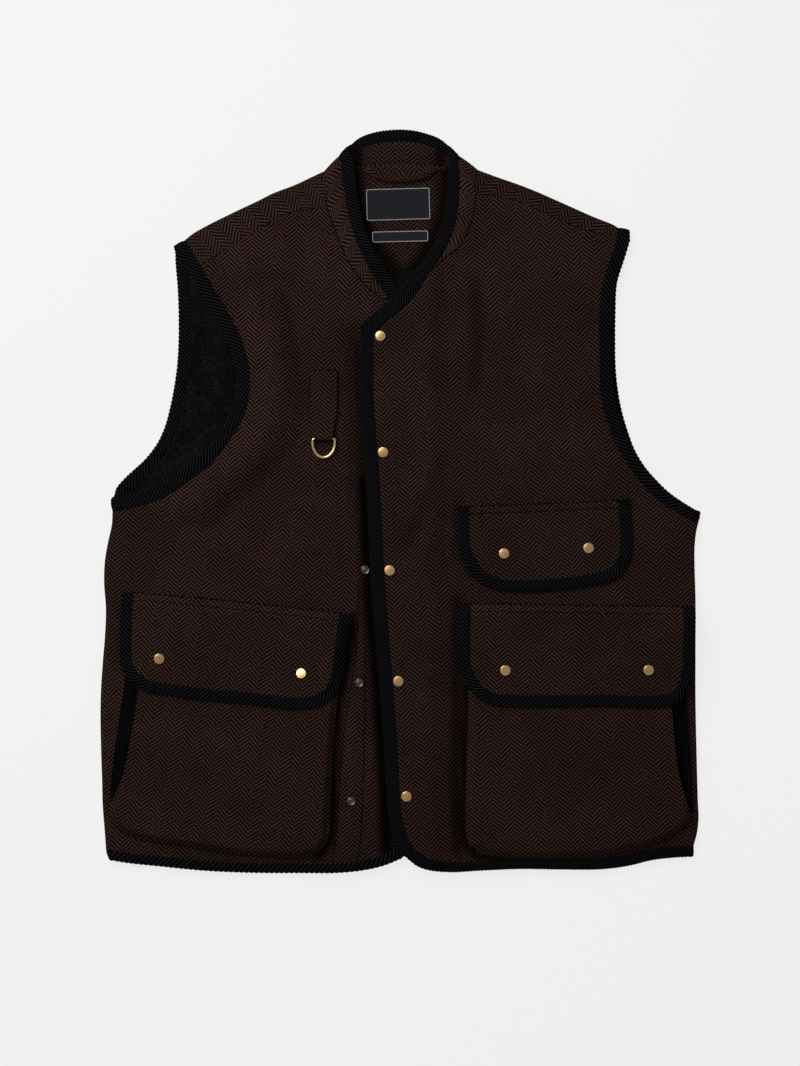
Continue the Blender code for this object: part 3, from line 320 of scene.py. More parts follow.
def braidMaterial(name, tone):
    # cord-covered tape: painted shade in the grooves between the ribs that the mesh has, and a
    # painted highlight of thin hairs on their crests
    material, tree, shader = newMaterial(name, 0.7, specular=0.0)
    cut = node(tree, "UVMap", {"uv_map": "weave"}).outputs[0]
    hairs = node(tree, "Mapping", i0=cut, Scale=(6.0, 0.7, 1.0))
    grain = grouped(tree, nub, hairs.outputs[0], Scale=1400.0)
    parts = node(tree, "SeparateXYZ", i0=cut)
    # painted shade in each rib's groove, painted highlight on its crest
    wave = sums(tree, "COSINE", sums(tree, "MULTIPLY", parts.outputs["X"], math.pi / mm))
    crest = ramp(tree, sums(tree, "ABSOLUTE", wave), 0.55, 0.95)
    thread = sums(tree, "MULTIPLY_ADD", grain.outputs["Nub"], 0.45, 0.55)
    colour = blendColour(tree, sums(tree, "MULTIPLY", crest, thread),
                         toned(braidLook["groove"], tone), toned(braidLook["crest"], tone))
    tree.links.new(colour, shader.inputs["Base Color"])
    bumped(tree, shader, grain.outputs["Nub"], 0.00015)
    return material


def nubbedMaterial(name, roughness, specular, stretch, scale, valley, crest, depth, patchy=None):
    # two tones and a little relief: fleece pile, seam thread, or the threads of a woven tape
    material, tree, shader = newMaterial(name, roughness, specular=specular)
    spread = node(tree, "Mapping", i0=node(tree, "TexCoord").outputs["Object"], Scale=stretch)
    grain = grouped(tree, nub, spread.outputs[0], Scale=scale)
    colour = blendColour(tree, grain.outputs["Nub"], toned(valley), toned(crest))
    if patchy:
        patches = ramp(tree, grain.outputs["Patch"], 0.3, 0.7, *patchy)
        colour = blendColour(tree, 1.0, colour, patches, "MULTIPLY")
    tree.links.new(colour, shader.inputs["Base Color"])
    bumped(tree, shader, grain.outputs["Nub"], depth)
    return material


metalLook = {"bloom": 900.0, "scratches": 2400.0, "dulled": 0.86, "smoother": 0.05,
             "rougher": 0.09, "depth": 0.00002}


def metalMaterial(name, colour, roughness):
    # brushed and handled: faint scratches, and a duller bloom in patches
    material, tree, shader = newMaterial(name, roughness, metallic=1.0)
    spot = node(tree, "TexCoord").outputs["Object"]
    bloom = grouped(tree, nub, spot, Scale=metalLook["bloom"])
    fine = node(tree, "TexNoise", Vector=spot, Scale=metalLook["scratches"], Detail=2.0)
    worn = blendColour(tree, ramp(tree, bloom.outputs["Patch"], 0.35, 0.65),
                       toned(colour, metalLook["dulled"]), toned(colour))
    tree.links.new(worn, shader.inputs["Base Color"])
    tree.links.new(ramp(tree, fine.outputs[0], 0.3, 0.7, roughness - metalLook["smoother"],
                        roughness + metalLook["rougher"]), shader.inputs["Roughness"])
    bumped(tree, shader, fine.outputs[0], metalLook["depth"])
    return material


evenly, sideways = (1.0, 1.0, 1.0), (0.25, 1.0, 1.0)      # the ways the nubs are stretched
looks = {
    "tweed": tweedMaterial("herringboneTweed", 1.0),
    "collarTweed": tweedMaterial("herringboneCollar", 1.2),
    "braid": braidMaterial("ribbedBraid", 1.0),
    "rib": braidMaterial("ribKnit", 0.62),
    "fleece": nubbedMaterial("pileLining", 1.0, 0.0, evenly, 520.0, (0.0022, 0.0022, 0.0027),
                             (0.0145, 0.0145, 0.0165), 0.0007, (0.7, 1.25)),
    "seam": nubbedMaterial("seamThread", 0.8, 0.0, evenly, 1800.0, (0.0008, 0.0006, 0.0006),
                           (0.0030, 0.0022, 0.0022), 0.0001),
    "label": nubbedMaterial("labelSatin", 0.5, 0.10, sideways, 2600.0, (0.0060, 0.0065, 0.0090),
                            (0.0120, 0.0130, 0.0170), 0.00006),
    "frame": nubbedMaterial("labelFrame", 0.5, 0.10, sideways, 2600.0, (0.20, 0.20, 0.22),
                            (0.36, 0.36, 0.39), 0.00006),
    "brass": metalMaterial("brushedBrass", (0.84, 0.53, 0.25), 0.30),
    "wire": metalMaterial("brassWire", (0.92, 0.68, 0.36), 0.24),
    "steel": metalMaterial("snapSteel", (0.13, 0.115, 0.11), 0.24),
}
print("materials are made")


# Curves on the board

spanSteps = 16         # to each span of a spline


def smoothRows(rows, shares):
    # a centripetal spline, read at shares of the length of its first two columns
    points = [Vector(row) for row in rows]
    points.insert(0, points[0] * 2 - points[1])
    points.append(points[-1] * 2 - points[-2])
    dense = []
    for span in range(1, len(points) - 2):
        p0, p1, p2, p3 = points[span - 1:span + 3]
        t0 = 0.0
        t1 = t0 + max(math.sqrt((p1 - p0).length), 1e-6)
        t2 = t1 + max(math.sqrt((p2 - p1).length), 1e-6)
        t3 = t2 + max(math.sqrt((p3 - p2).length), 1e-6)
        for step in range(spanSteps):
            t = t1 + (t2 - t1) * step / spanSteps
            a1 = p0 * ((t1 - t) / (t1 - t0)) + p1 * ((t - t0) / (t1 - t0))
            a2 = p1 * ((t2 - t) / (t2 - t1)) + p2 * ((t - t1) / (t2 - t1))
            a3 = p2 * ((t3 - t) / (t3 - t2)) + p3 * ((t - t2) / (t3 - t2))
            b1 = a1 * ((t2 - t) / (t2 - t0)) + a2 * ((t - t0) / (t2 - t0))
            b2 = a2 * ((t3 - t) / (t3 - t1)) + a3 * ((t - t1) / (t3 - t1))
            dense.append(b1 * ((t2 - t) / (t2 - t1)) + b2 * ((t - t1) / (t2 - t1)))
    dense.append(points[-2].copy())
    lengths = [0.0]
    for a, b in zip(dense, dense[1:]):
        lengths.append(lengths[-1] + math.hypot(b[0] - a[0], b[1] - a[1]))
    result = []
    passed = 0
    for share in shares:
        target = share * lengths[-1]
        while passed < len(dense) - 2 and lengths[passed + 1] < target:
            passed += 1
        run = lengths[passed + 1] - lengths[passed]
        part = 0.0 if run == 0 else (target - lengths[passed]) / run
        result.append(tuple(dense[passed].lerp(dense[passed + 1], min(max(part, 0.0), 1.0))))
    return result


def even(count):
    return [step / count for step in range(count + 1)]


def courses(rows, count):
    # table rows of four or six columns, as places on the board
    return [[tuple(row[start:start + 2]) for start in range(0, len(row), 2)]
            for row in smoothRows(rows, even(count))]


def mix(a, b, share):
    return tuple(p + (q - p) * share for p, q in zip(a, b))


def toward(a, b, distance):
    return mix(a, b, distance / math.dist(a, b))


def unit(a, b):
    length = math.dist(a, b)
    return ((b[0] - a[0]) / length, (b[1] - a[1]) / length)


def wayAt(path, number):
    # the way a path runs past one of its points
    return unit(path[max(number - 1, 0)], path[min(number + 1, len(path) - 1)])


def offsetPath(path, distance):
    # moved to its left, as one walks along it on the board
    moved = []
    for number, point in enumerate(path):
        along = wayAt(path, number)
        moved.append((point[0] + along[1] * distance, point[1] - along[0] * distance))
    return moved


def lengthsOf(path):
    lengths = [0.0]
    for a, b in zip(path, path[1:]):
        lengths.append(lengths[-1] + math.dist(a, b))
    return lengths


def sharesOf(path):
    lengths = lengthsOf(path)
    return [length / lengths[-1] for length in lengths]


def coons(bottom, top, near, far):
    # rows of points that fill four edges; near and far run from bottom to top
    across = [(a + b) / 2 for a, b in zip(sharesOf(bottom), sharesOf(top))]
    upward = [(a + b) / 2 for a, b in zip(sharesOf(near), sharesOf(far))]
    rows = []
    for j, v in enumerate(upward):
        row = []
        for i, u in enumerate(across):
            point = []
            for axis in (0, 1):
                ruled = (1 - v) * bottom[i][axis] + v * top[i][axis]
                ruled += (1 - u) * near[j][axis] + u * far[j][axis]
                corners = (1 - u) * (1 - v) * bottom[0][axis] + u * (1 - v) * bottom[-1][axis]
                corners += (1 - u) * v * top[0][axis] + u * v * top[-1][axis]
                point.append(ruled - corners)
            row.append(tuple(point))
        rows.append(row)
    return rows


def ease(share):
    share = min(max(share, 0.0), 1.0)
    return share * share * (3 - 2 * share)


def distanceTo(path, spot):
    best = math.inf
    for a, b in zip(path, path[1:]):
        run = (b[0] - a[0]) ** 2 + (b[1] - a[1]) ** 2
        part = ((spot[0] - a[0]) * (b[0] - a[0]) + (spot[1] - a[1]) * (b[1] - a[1])) / run
        best = min(best, math.dist(spot, mix(a, b, min(max(part, 0.0), 1.0))))
    return best


def beyond(line, spot):
    # how far a place lies to the right of a line, as one walks along it
    along = unit(*line)
    return (spot[1] - line[0][1]) * along[0] - (spot[0] - line[0][0]) * along[1]


# Cloth that lies low on the floor, high on the back, or rolls from one to the other

high, low = math.pi, 0.0
straight = (0.0, 0.0)    # no way out, for cloth away from a fold


def foldRadius(thickness):
    return (cloth["upper"] + thickness) / 2


def turned(spot, outward, turn, thickness, depth=0.0):
    # a place on cloth that has turned so far round a fold, and lies that deep in it
    radius = foldRadius(thickness)
    reach = (radius - depth) * math.sin(turn)
    return (spot[0] + outward[0] * reach, spot[1] + outward[1] * reach,
            radius - (radius - depth) * math.cos(turn))


def outFromMiddle(seam, edge):
    # the way a fold bulges whose line runs from seam to edge
    along = unit(seam, edge)
    way = (along[1], -along[0])
    middle = board["middle"]
    if way[0] * (seam[0] - middle[0]) + way[1] * (seam[1] - middle[1]) < 0:
        way = (-way[0], -way[1])
    return way


def weavePlace(spot, lean=2.2, slip=(0, 0)):
    # board places as metres of cloth, its threads leaning a little off the board's
    angle = math.radians(lean)
    across, up = spot[0] + slip[0], slip[1] - spot[1]
    return ((across * math.cos(angle) - up * math.sin(angle)) * mm,
            (across * math.sin(angle) + up * math.cos(angle)) * mm)


def layGrid(shape, rows, weaves, facing=1):
    # a grid whose points are carried to the rows' places; its first cell faces up or down
    across, up = len(rows[0]) - 1, len(rows) - 1
    a, b, c = rows[0][0], rows[0][1], rows[1][0]
    flat = (b[0] - a[0]) * (a[1] - c[1]) - (a[1] - b[1]) * (c[0] - a[0])
    mirrored = flat * facing < 0
    made = bmesh.ops.create_grid(shape, x_segments=across, y_segments=up, size=0.5)["verts"]
    layer = shape.loops.layers.uv["weave"]
    seen = {}
    for vert in made:
        i = round((vert.co.x + 0.5) * across)
        j = round((vert.co.y + 0.5) * up)
        if mirrored:
            i = across - i
        vert.co = onBoard(*rows[j][i])
        seen[vert] = weaves[j][i]
    for face in {face for vert in made for face in vert.link_faces}:
        for loop in face.loops:
            loop[layer].uv = seen[loop.vert]


def layCloth(shape, rows, level, lean=2.2, slip=(0, 0), facing=1):
    # a grid of board places, each at its level, with the weave as it was cut
    layGrid(shape, [[(*spot, level(spot)) for spot in row] for row in rows],
            [[weavePlace(spot, lean, slip) for spot in row] for row in rows], facing)


def newShape():
    shape = bmesh.new()
    shape.loops.layers.uv.new("weave")
    return shape


def placePiece(name, shape, look, replaced=(), body="vest", sharp=50):
    finishes = [look] if isinstance(look, str) else look
    name = name + "_" + finishes[0]
    mesh = bpy.data.meshes.new(name)
    shape.to_mesh(mesh)
    shape.free()
    for finish in finishes:
        mesh.materials.append(looks[finish])
    mesh.shade_smooth()
    mesh.set_sharp_from_angle(angle=math.radians(sharp))
    piece = bpy.data.objects.new(name, mesh)
    scene.collection.objects.link(piece)
    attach(piece, body)
    if replaced:
        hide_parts(*replaced)
    return piece


def thicken(piece, thickness, rim=0.7, steps=2):
    # cloth thickness inwards from its outer face, then softened cut edges
    wall = piece.modifiers.new("thickness", "SOLIDIFY")
    wall.thickness = thickness * mm
    wall.offset = -1
    if rim:
        edge = piece.modifiers.new("rim", "BEVEL")
        edge.width = rim * mm
        edge.segments = steps
        edge.limit_method = "ANGLE"
        edge.angle_limit = math.radians(60)


def tube(shape, rings, weaves, closed=False):
    # a grid round the rings, its seam merged, and its ends joined or filled
    rows = [list(ring) + [ring[0]] for ring in rings]
    if closed:
        rows.append(rows[0])
        weaves = weaves + [weaves[0]]
    layGrid(shape, rows, weaves)
    bmesh.ops.remove_doubles(shape, verts=shape.verts, dist=1e-7)
    if not closed:
        bmesh.ops.holes_fill(shape, edges=[e for e in shape.edges if e.is_boundary], sides=0)
    bmesh.ops.recalc_face_normals(shape, faces=shape.faces)


# Outlines, each named for the edge it follows. Rows: seam across, seam down, edge across,
# edge down, and on the collar its own seam too. Folds: crest, half width, height. Painted
# shadows, in gutters and beside raised edges: path, half width, darkness.

right = {
    "side": -1, "endRows": 3, "collarRows": 9,
    "edge": [
        (408.4, 325.9, 420.9, 317.4), (408.4, 360, 421.3, 360), (408.4, 600, 421.3, 600),
        (408.4, 785, 421.3, 787), (407.0, 815, 419.8, 822), (402.0, 835, 413.5, 845),
        (393.5, 849.7, 402.0, 858.5),
    ],
    "hem": [
        (393.5, 849.7, 402.0, 858.5), (381, 856.5, 386, 865.2), (366, 860.3, 369, 869.6),
        (340, 863.6, 341, 873), (300, 864.1, 300, 873.3), (250, 863.6, 250, 873),
        (205, 861.3, 204, 871), (160, 857, 159, 866.6), (130, 853.8, 129, 863.5),
        (109.3, 850.5, 113.2, 861),
    ],
    "silhouette": [
        (105.6, 850.5), (104.2, 831), (102.2, 805), (101.6, 780), (100.6, 750), (100, 715),
        (100.5, 690), (102.5, 660), (104.5, 636), (105.5, 610), (103.6, 582), (104.5, 560),
        (108, 540), (111.5, 524), (112, 511.3),
    ],
    "armhole": [
        (115.7, 511.3, 114, 498.5), (135, 507.5, 132, 494.3), (150, 503, 146.5, 489.8),
        (165, 497, 160, 484.5), (180, 488, 173.5, 475.5), (195, 477, 187, 465.5),
        (210, 465, 201, 454), (222, 451, 212, 441.5), (232, 437, 221, 429),
        (240, 424, 228.5, 417), (246, 409, 233.5, 404), (249, 394, 236, 391.5),
        (250, 378, 237, 378), (247, 358, 234, 361.5), (241, 338, 228.5, 344),
        (232, 320, 220.5, 327), (222, 302, 210.5, 309), (211, 284, 199.5, 291),
        (200, 265, 187.5, 270),
    ],
    "tip": [(200, 265, 187.5, 270), (193, 253.5, 181, 259.5), (187, 242.8, 174.8, 249)],
    "backArmhole": [
        (115.7, 511.3, 114, 498.5), (121.5, 499, 115.2, 489), (132, 487, 124.6, 477.5),
        (143, 477, 135, 468), (154, 467, 145, 458.5), (166.5, 450, 156.4, 443.5),
        (175.5, 431, 164.3, 426.5), (181.3, 410, 169.8, 406), (185.6, 388, 173.8, 385.5),
        (188.6, 365, 176.7, 363.5), (190, 340, 178, 340), (190, 310, 178, 310),
        (189.2, 285, 177, 286), (187.6, 260, 175, 262), (187, 242.8, 174.8, 249),
    ],
    "shoulderSeam": [
        (326.8, 208), (303, 210), (283, 215.5), (262, 227), (240, 240), (222, 253), (200, 265),
    ],
    "shoulderTop": [
        (323.9, 170.7), (312, 176.3), (295, 184.3), (272, 193.2), (258, 200.3), (241, 208.3),
        (224, 216.5), (208, 224.5), (193, 233), (185.7, 238.7),
    ],
    "neckEnd": [
        (408.9, 325.2, 421.4, 316.7), (399.5, 311.4, 410, 300.4), (388, 297, 399, 286),
    ],
    "collar": [
        (388, 297, 398, 286, 385.3, 300.4), (376, 279.5, 385.4, 267, 368, 288),
        (366, 262, 375, 250.4, 356.8, 274.4), (358, 244, 367.2, 234, 347.6, 259.6),
        (351.5, 225, 362.2, 216.6, 339.6, 241.6), (347, 206, 358.2, 198.6, 333.6, 224.6),
        (344.2, 188, 355.8, 181.4, 327.2, 207.8),
    ],
    "collarTop": [
        (344.2, 188, 355.8, 181.4, 327.2, 207.8), (342.4, 172, 354.2, 164.6, 326.9, 190),
        (341.5, 158.3, 350, 148.5, 327.0, 173.2),
    ],
    "paintedShadows": [
        ([(364, 480), (370, 600), (375, 650), (379, 700), (382.5, 750), (385.5, 800),
          (387, 848)], 14, 1.0),
        ([(354, 616), (352, 650), (341, 690), (337, 722), (335, 766), (333, 809), (330, 842),
          (318, 858)], 7, 0.85),
        ([(353, 330), (353, 420), (360, 520)], 18, 0.35),
        ([(357, 345), (358, 400), (362, 460), (364, 490)], 10, 0.6),
    ],
    "folds": [
        ([(240, 272), (256, 310), (268, 348), (273, 385), (268, 420), (251, 452), (222, 480),
          (188, 503)], 27, 5.4),
        ([(318, 228), (322, 290), (326, 345)], 24, 1.6),
        ([(128, 545), (150, 562)], 25, 1.6),
        ([(366, 262), (351, 225), (344, 188), (341, 160)], 36, 4.5),
        ([(283, 300), (292, 350), (300, 400), (292, 438), (262, 474), (207, 524)], 14, -1.2),
        ([(357, 640), (354, 740), (351, 850)], 13, 2.2),
        ([(341, 630), (339, 700), (335, 790), (332, 850)], 12, -1.2),
    ],
}
left = {
    "side": 1, "endRows": 6, "collarRows": 6,
    "edge": [
        (372.9, 334.9, 360.3, 326.5), (373, 360, 360.3, 360), (373.5, 400, 360.4, 400),
        (377, 450, 363.6, 450), (380.5, 500, 366.8, 500), (382.8, 550, 369.3, 550),
        (385.8, 600, 372.3, 600), (389.8, 650, 376.5, 650), (393.8, 700, 380.5, 700),
        (397.3, 750, 384.2, 750), (399.8, 800, 387.2, 800), (402.5, 821, 390, 825),
        (408, 838, 396, 845), (414.5, 849.5, 405.2, 856.5),
    ],
    "hem": [
        (414.5, 849.5, 405.2, 856.5), (423, 856, 417, 866), (434, 860.2, 430, 870.4),
        (450, 862.3, 449, 872.6), (480, 862, 480, 871), (520, 860, 520, 869.3),
        (560, 859.8, 560, 869.8), (600, 859, 602, 869.6), (625, 855.5, 628, 866.3),
        (650, 850, 652, 860.5), (672, 847.3, 673, 858), (690.3, 846.3, 690, 857),
    ],
    "silhouette": [
        (694.0, 846.3), (697, 836), (699, 820), (698.3, 800), (697, 750), (696, 700),
        (696, 650), (696, 600), (695, 565), (695, 548), (696.5, 533), (699.1, 521.5),
    ],
    "armhole": [
        (695.4, 521.5, 697.3, 511.5), (688, 518.5, 692, 507.5), (678, 513, 683.5, 502.5),
        (662, 502, 669.5, 492.5), (648, 489.5, 657, 480.5), (636, 476, 646, 468),
        (626, 461, 637, 454.5), (617, 445, 629, 440), (610, 429, 622.5, 425),
        (604, 410, 617, 407.5), (600.7, 390, 613.8, 388.5), (600, 350, 613, 350),
        (600, 315, 613, 316), (602, 290, 615, 292), (607, 270, 619.8, 273.5),
        (613, 252, 625.6, 256), (618, 237, 630.3, 240),
    ],
    "tip": [(618, 237, 630.3, 240), (617.3, 234, 630, 236.5), (616.8, 231, 629.5, 233)],
    "backArmhole": [
        (695.4, 521.5, 697.3, 511.5), (675, 511, 681, 500.5), (660.5, 500.5, 668, 491.5),
        (646, 486.5, 654.8, 478.5), (633.5, 471, 643.3, 463.5), (624.5, 455, 635, 449),
        (616.5, 435, 628, 430), (610.3, 414, 622.2, 410), (606.3, 392, 618.4, 389.5),
        (604, 368, 616.2, 367), (603.4, 340, 615.7, 340), (603.7, 312, 616, 312),
        (604.8, 285, 617, 286.5), (608.5, 262, 620.6, 265), (614.5, 243, 626.8, 246),
        (616.8, 231, 629.5, 233),
    ],
    "shoulderSeam": [
        (476.8, 194.3), (498, 196.7), (515, 200.3), (530, 205.8), (545, 213), (563, 221),
        (580, 228), (600, 232.5), (618, 237),
    ],
    "shoulderTop": [
        (477.3, 169.2), (497, 176.5), (520, 184.5), (540, 192.5), (558, 200.5), (576, 208.5),
        (594, 216.5), (614, 224.5), (617.5, 226.8),
    ],
    "neckEnd": [
        (373.2, 334.4, 360.6, 325.9), (386.5, 321, 378, 309), (397.3, 313, 388.5, 301.3),
        (408, 303.4, 397.5, 292.8), (416.8, 293, 404.3, 284.5), (424.3, 282, 411.5, 275.5),
        (429, 274, 416, 268.5),
    ],
    "collar": [
        (429, 274, 416.6, 268.7, 432, 270.3), (434.3, 265.5, 423, 262, 440.8, 262.1),
        (442, 253.5, 431, 249.6, 454.6, 251.6), (449.5, 240, 438.6, 236.6, 463.7, 240.6),
        (455, 225, 443.3, 221.5, 470, 226), (458.2, 206, 446, 203, 474, 210),
        (459.5, 188, 448.5, 183, 476.2, 194),
    ],
    "collarTop": [
        (459.5, 188, 448.5, 183, 476.2, 194), (459, 173, 448.7, 166, 475.1, 183),
        (456.6, 158.3, 447.4, 149.2, 474.6, 171.6),
    ],
    "paintedShadows": [
        ([(466, 686), (465, 750), (463.5, 800), (465.5, 842), (475, 856), (500, 861.5)], 7, 0.85),
        ([(455, 612), (456, 660), (466, 690)], 7, 0.5),
        ([(455, 512), (457, 548), (470, 574)], 7, 0.5),
    ],
    "folds": [
        ([(474, 262), (520, 300), (560, 400)], 46, 2.0),
        ([(448, 420), (436, 480), (424, 540)], 20, 2.2),
        ([(664, 536), (667, 556)], 23, 1.6),
        ([(429, 274), (449.5, 240), (458, 206), (458, 160)], 36, 4.5),
        ([(440, 462), (426, 505), (406, 548)], 16, -1.2),
        ([(476, 280), (478, 330), (474, 385)], 13, -1.5),
        ([(457, 600), (457, 700), (455, 780), (458, 850)], 14, -2.4),
        ([(457, 500), (458, 560)], 12, -1.1),
    ],
}
backHem = [
    (109.3, 850.5, 113.2, 861), (118, 850.9, 120.5, 861.2), (140, 849.6, 141, 859.8),
    (180, 847, 180.5, 857.3), (260, 844, 260, 854.3), (400, 842.5, 400, 852.8),
    (540, 842.5, 540, 852.8), (640, 845, 640, 855.2), (672, 846.7, 671.5, 856.9),
    (682, 846.8, 682, 857), (690.3, 846.3, 690, 857),
]
backCollarRows = [
    (341.5, 158.3, 350, 148.5, 327.0, 173.2), (350, 152, 354, 141, 342, 168.6),
    (362, 146.6, 363, 135.2, 358, 165.6), (375, 143, 374, 131.5, 373, 164),
    (388, 141, 387.5, 129.3, 387, 163.3), (400, 140.3, 400, 128.6, 400, 163),
    (413, 141, 413.5, 129.6, 413, 163.3), (426, 143.6, 427, 132.8, 427, 164),
    (438, 148, 438.5, 137.2, 442, 165.6), (448, 153.4, 446, 142.8, 457, 168.4),
    (456.6, 158.3, 447.4, 149.2, 474.6, 171.6),
]
overlap = {"lift": 4.6, "flatTo": 428, "downTo": 449}    # the left front lies over the right
underLift = -0.3       # the fronts lie on the lining, so they can go no lower


# The panels

cells = {"edge": 104, "side": 60, "armhole": 92, "backArmhole": 88, "across": 60, "strip": 14,
         "roll": 12, "backNeck": 40, "tip": 8, "collarRow": 4, "collarTop": 12,
         "facingAcross": 60, "facingUp": 30}
sideShare = 0.0145     # of the back's hem, from its end to a side seam
shoulderOver = 0.8     # the back's cloth runs on under the armhole binding
shoulderLean = 38      # degrees by which its threads lean there
shoulderRise = 2.5     # how soon past the fold it takes the front's folds


def rounded(path, halfWidth, height, spot):
    # full on the path, and nothing half a width away from it
    reach = min(distanceTo(path, spot) / halfWidth, 1)
    return height * (0.5 + 0.5 * math.cos(math.pi * reach))


def foldLift(folds, spot):
    # ridges add to troughs, which have a height below nothing
    return sum(rounded(*fold, spot) for fold in folds)


ripples = [(74, 92, 3.7, 0.55), (31, 38, 9.2, 0.22)]    # across, down, slice, height


def ripple(spot):
    # the slight unevenness of cloth that was laid down by hand
    return sum(height * noise.noise(Vector((spot[0] / across, spot[1] / down, part)))
               for across, down, part, height in ripples)


def paintedShadingAt(half, spot):
    # painted shading: from painted highlight on a crest, below nothing, to painted shade at the
    # bottom of a trough or of the gutter beside a pocket
    share = -foldLift(half["troughs"], spot) * paintedShadingLook["trough"]
    share -= min(foldLift(half["ridges"], spot) * paintedShadingLook["ridge"], -paintedShadingLook["crest"])
    for paintedShading in half["paintedShadows"]:
        if distanceTo(paintedShading[0], spot) < paintedShading[1]:
            share = max(share, rounded(*paintedShading, spot))
    return share


def paintShading(piece, half):
    # painted shade and highlight: the weave's tone is darkened in the folds' troughs and gutters
    # and lightened on their crests, for light that comes from everywhere else
    marks = piece.data.attributes.new("paintedShading", "FLOAT", "POINT")
    for vert, mark in zip(piece.data.vertices, marks.data):
        spot = (board["middle"][0] + vert.co.x / mm, board["middle"][1] - vert.co.y / mm)
        mark.value = paintedShadingAt(half, spot)


def rightLift(spot):
    return max(foldLift(right["folds"], spot) + ripple(spot), underLift)


def leftLift(spot):
    over = (overlap["downTo"] - spot[0]) / (overlap["downTo"] - overlap["flatTo"])
    lift = overlap["lift"] * ease(over) + foldLift(left["folds"], spot) + ripple(spot)
    return max(lift, underLift)


def rightTop(spot):
    return panelTop + rightLift(spot)


def leftTop(spot):
    return panelTop + leftLift(spot)


def readHalf(tables, lift):
    # the edges of one side of the vest, read once so that neighbours share their points
    side = tables["side"]
    radius = foldRadius(cloth["panel"])
    half = {"side": side, "lift": lift, "paintedShadows": tables["paintedShadows"]}
    half["ridges"] = [fold for fold in tables["folds"] if fold[2] > 0]
    half["troughs"] = [fold for fold in tables["folds"] if fold[2] < 0]
    half["edge"] = courses(tables["edge"], cells["edge"])
    half["hem"] = courses(tables["hem"], cells["across"])
    half["armhole"] = courses(tables["armhole"], cells["armhole"])
    silhouette = [tuple(row) for row in smoothRows(tables["silhouette"], even(cells["side"]))]
    fold = offsetPath(silhouette, side * radius)
    half["fold"] = [half["hem"][-1][0]] + fold[1:-1] + [half["armhole"][0][0]]
    half["tip"] = courses(tables["tip"], cells["tip"])
    half["backArmhole"] = courses(tables["backArmhole"], cells["backArmhole"])
    half["seam"] = smoothRows(tables["shoulderSeam"], even(cells["across"]))
    top = smoothRows(tables["shoulderTop"], even(cells["across"]))
    half["top"] = offsetPath(top, -side * radius)
    half["top"][-1] = toward(half["top"][-1], half["top"][-2], -shoulderOver)
    half["end"] = courses(tables["neckEnd"], tables["endRows"] * cells["collarRow"])
    half["collar"] = courses(tables["collar"], tables["collarRows"] * cells["collarRow"])
    half["collarTop"] = courses(tables["collarTop"], cells["collarTop"])
    # the fold over the shoulder starts at the collar's seam
    half["top"][0] = toward(half["collarTop"][-1][2], half["top"][1], cloth["gap"])
    plain = [row[0] for row in half["end"][1:-1]]
    sewn = offsetPath([row[2] for row in half["collar"]], -side * cloth["gap"])
    half["neck"] = [half["edge"][0][0]] + plain + sewn
    return half


def addFront(name, half, slip, lean):
    # a front: its panel, and the side of it that rolls round to the underside
    near = [row[0] for row in reversed(half["edge"])] + half["neck"][1:]
    far = half["fold"] + [row[0] for row in half["armhole"][1:]]
    hem = [row[0] for row in half["hem"][:-1]] + [half["fold"][0]]
    shoulder = [half["neck"][-1]] + half["seam"][1:]
    side = half["side"]
    radius = foldRadius(cloth["panel"])
    panel = coons(hem, shoulder, near, far)

    def frontTop(spot):
        return panelTop + half["lift"](spot)

    shape = newShape()
    layCloth(shape, panel, frontTop, lean, slip)
    rows, weaves = [], []
    for spot in half["fold"]:
        top = (*spot, frontTop(spot))
        line, weave = [top], [weavePlace(spot, lean, slip)]
        for step in range(1, cells["roll"] + 1):
            share = step / cells["roll"]
            point = turned(spot, (side, 0), high * (1 - share), cloth["panel"])
            fade = (top[2] - panelTop) * (1 - share)
            line.append((point[0], point[1], point[2] + fade))
            unrolled = (spot[0] + side * radius * math.pi * share, spot[1])
            weave.append(weavePlace(unrolled, lean, slip))
        under = (spot[0] - side * cloth["underTurn"], spot[1])
        line.append((*under, 0.0))
        wide = radius * math.pi + cloth["underTurn"]
        weave.append(weavePlace((spot[0] + side * wide, spot[1]), lean, slip))
        rows.append(line)
        weaves.append(weave)
    layGrid(shape, rows, weaves)
    bmesh.ops.remove_doubles(shape, verts=shape.verts, dist=1e-6)
    piece = placePiece(name, shape, "tweed", [name])
    paintShading(piece, half)
    thicken(piece, cloth["panel"])


def stripWeave(spot, side):
    # the back's cloth comes over the shoulder on a slant
    return weavePlace(spot, lean=side * shoulderLean)


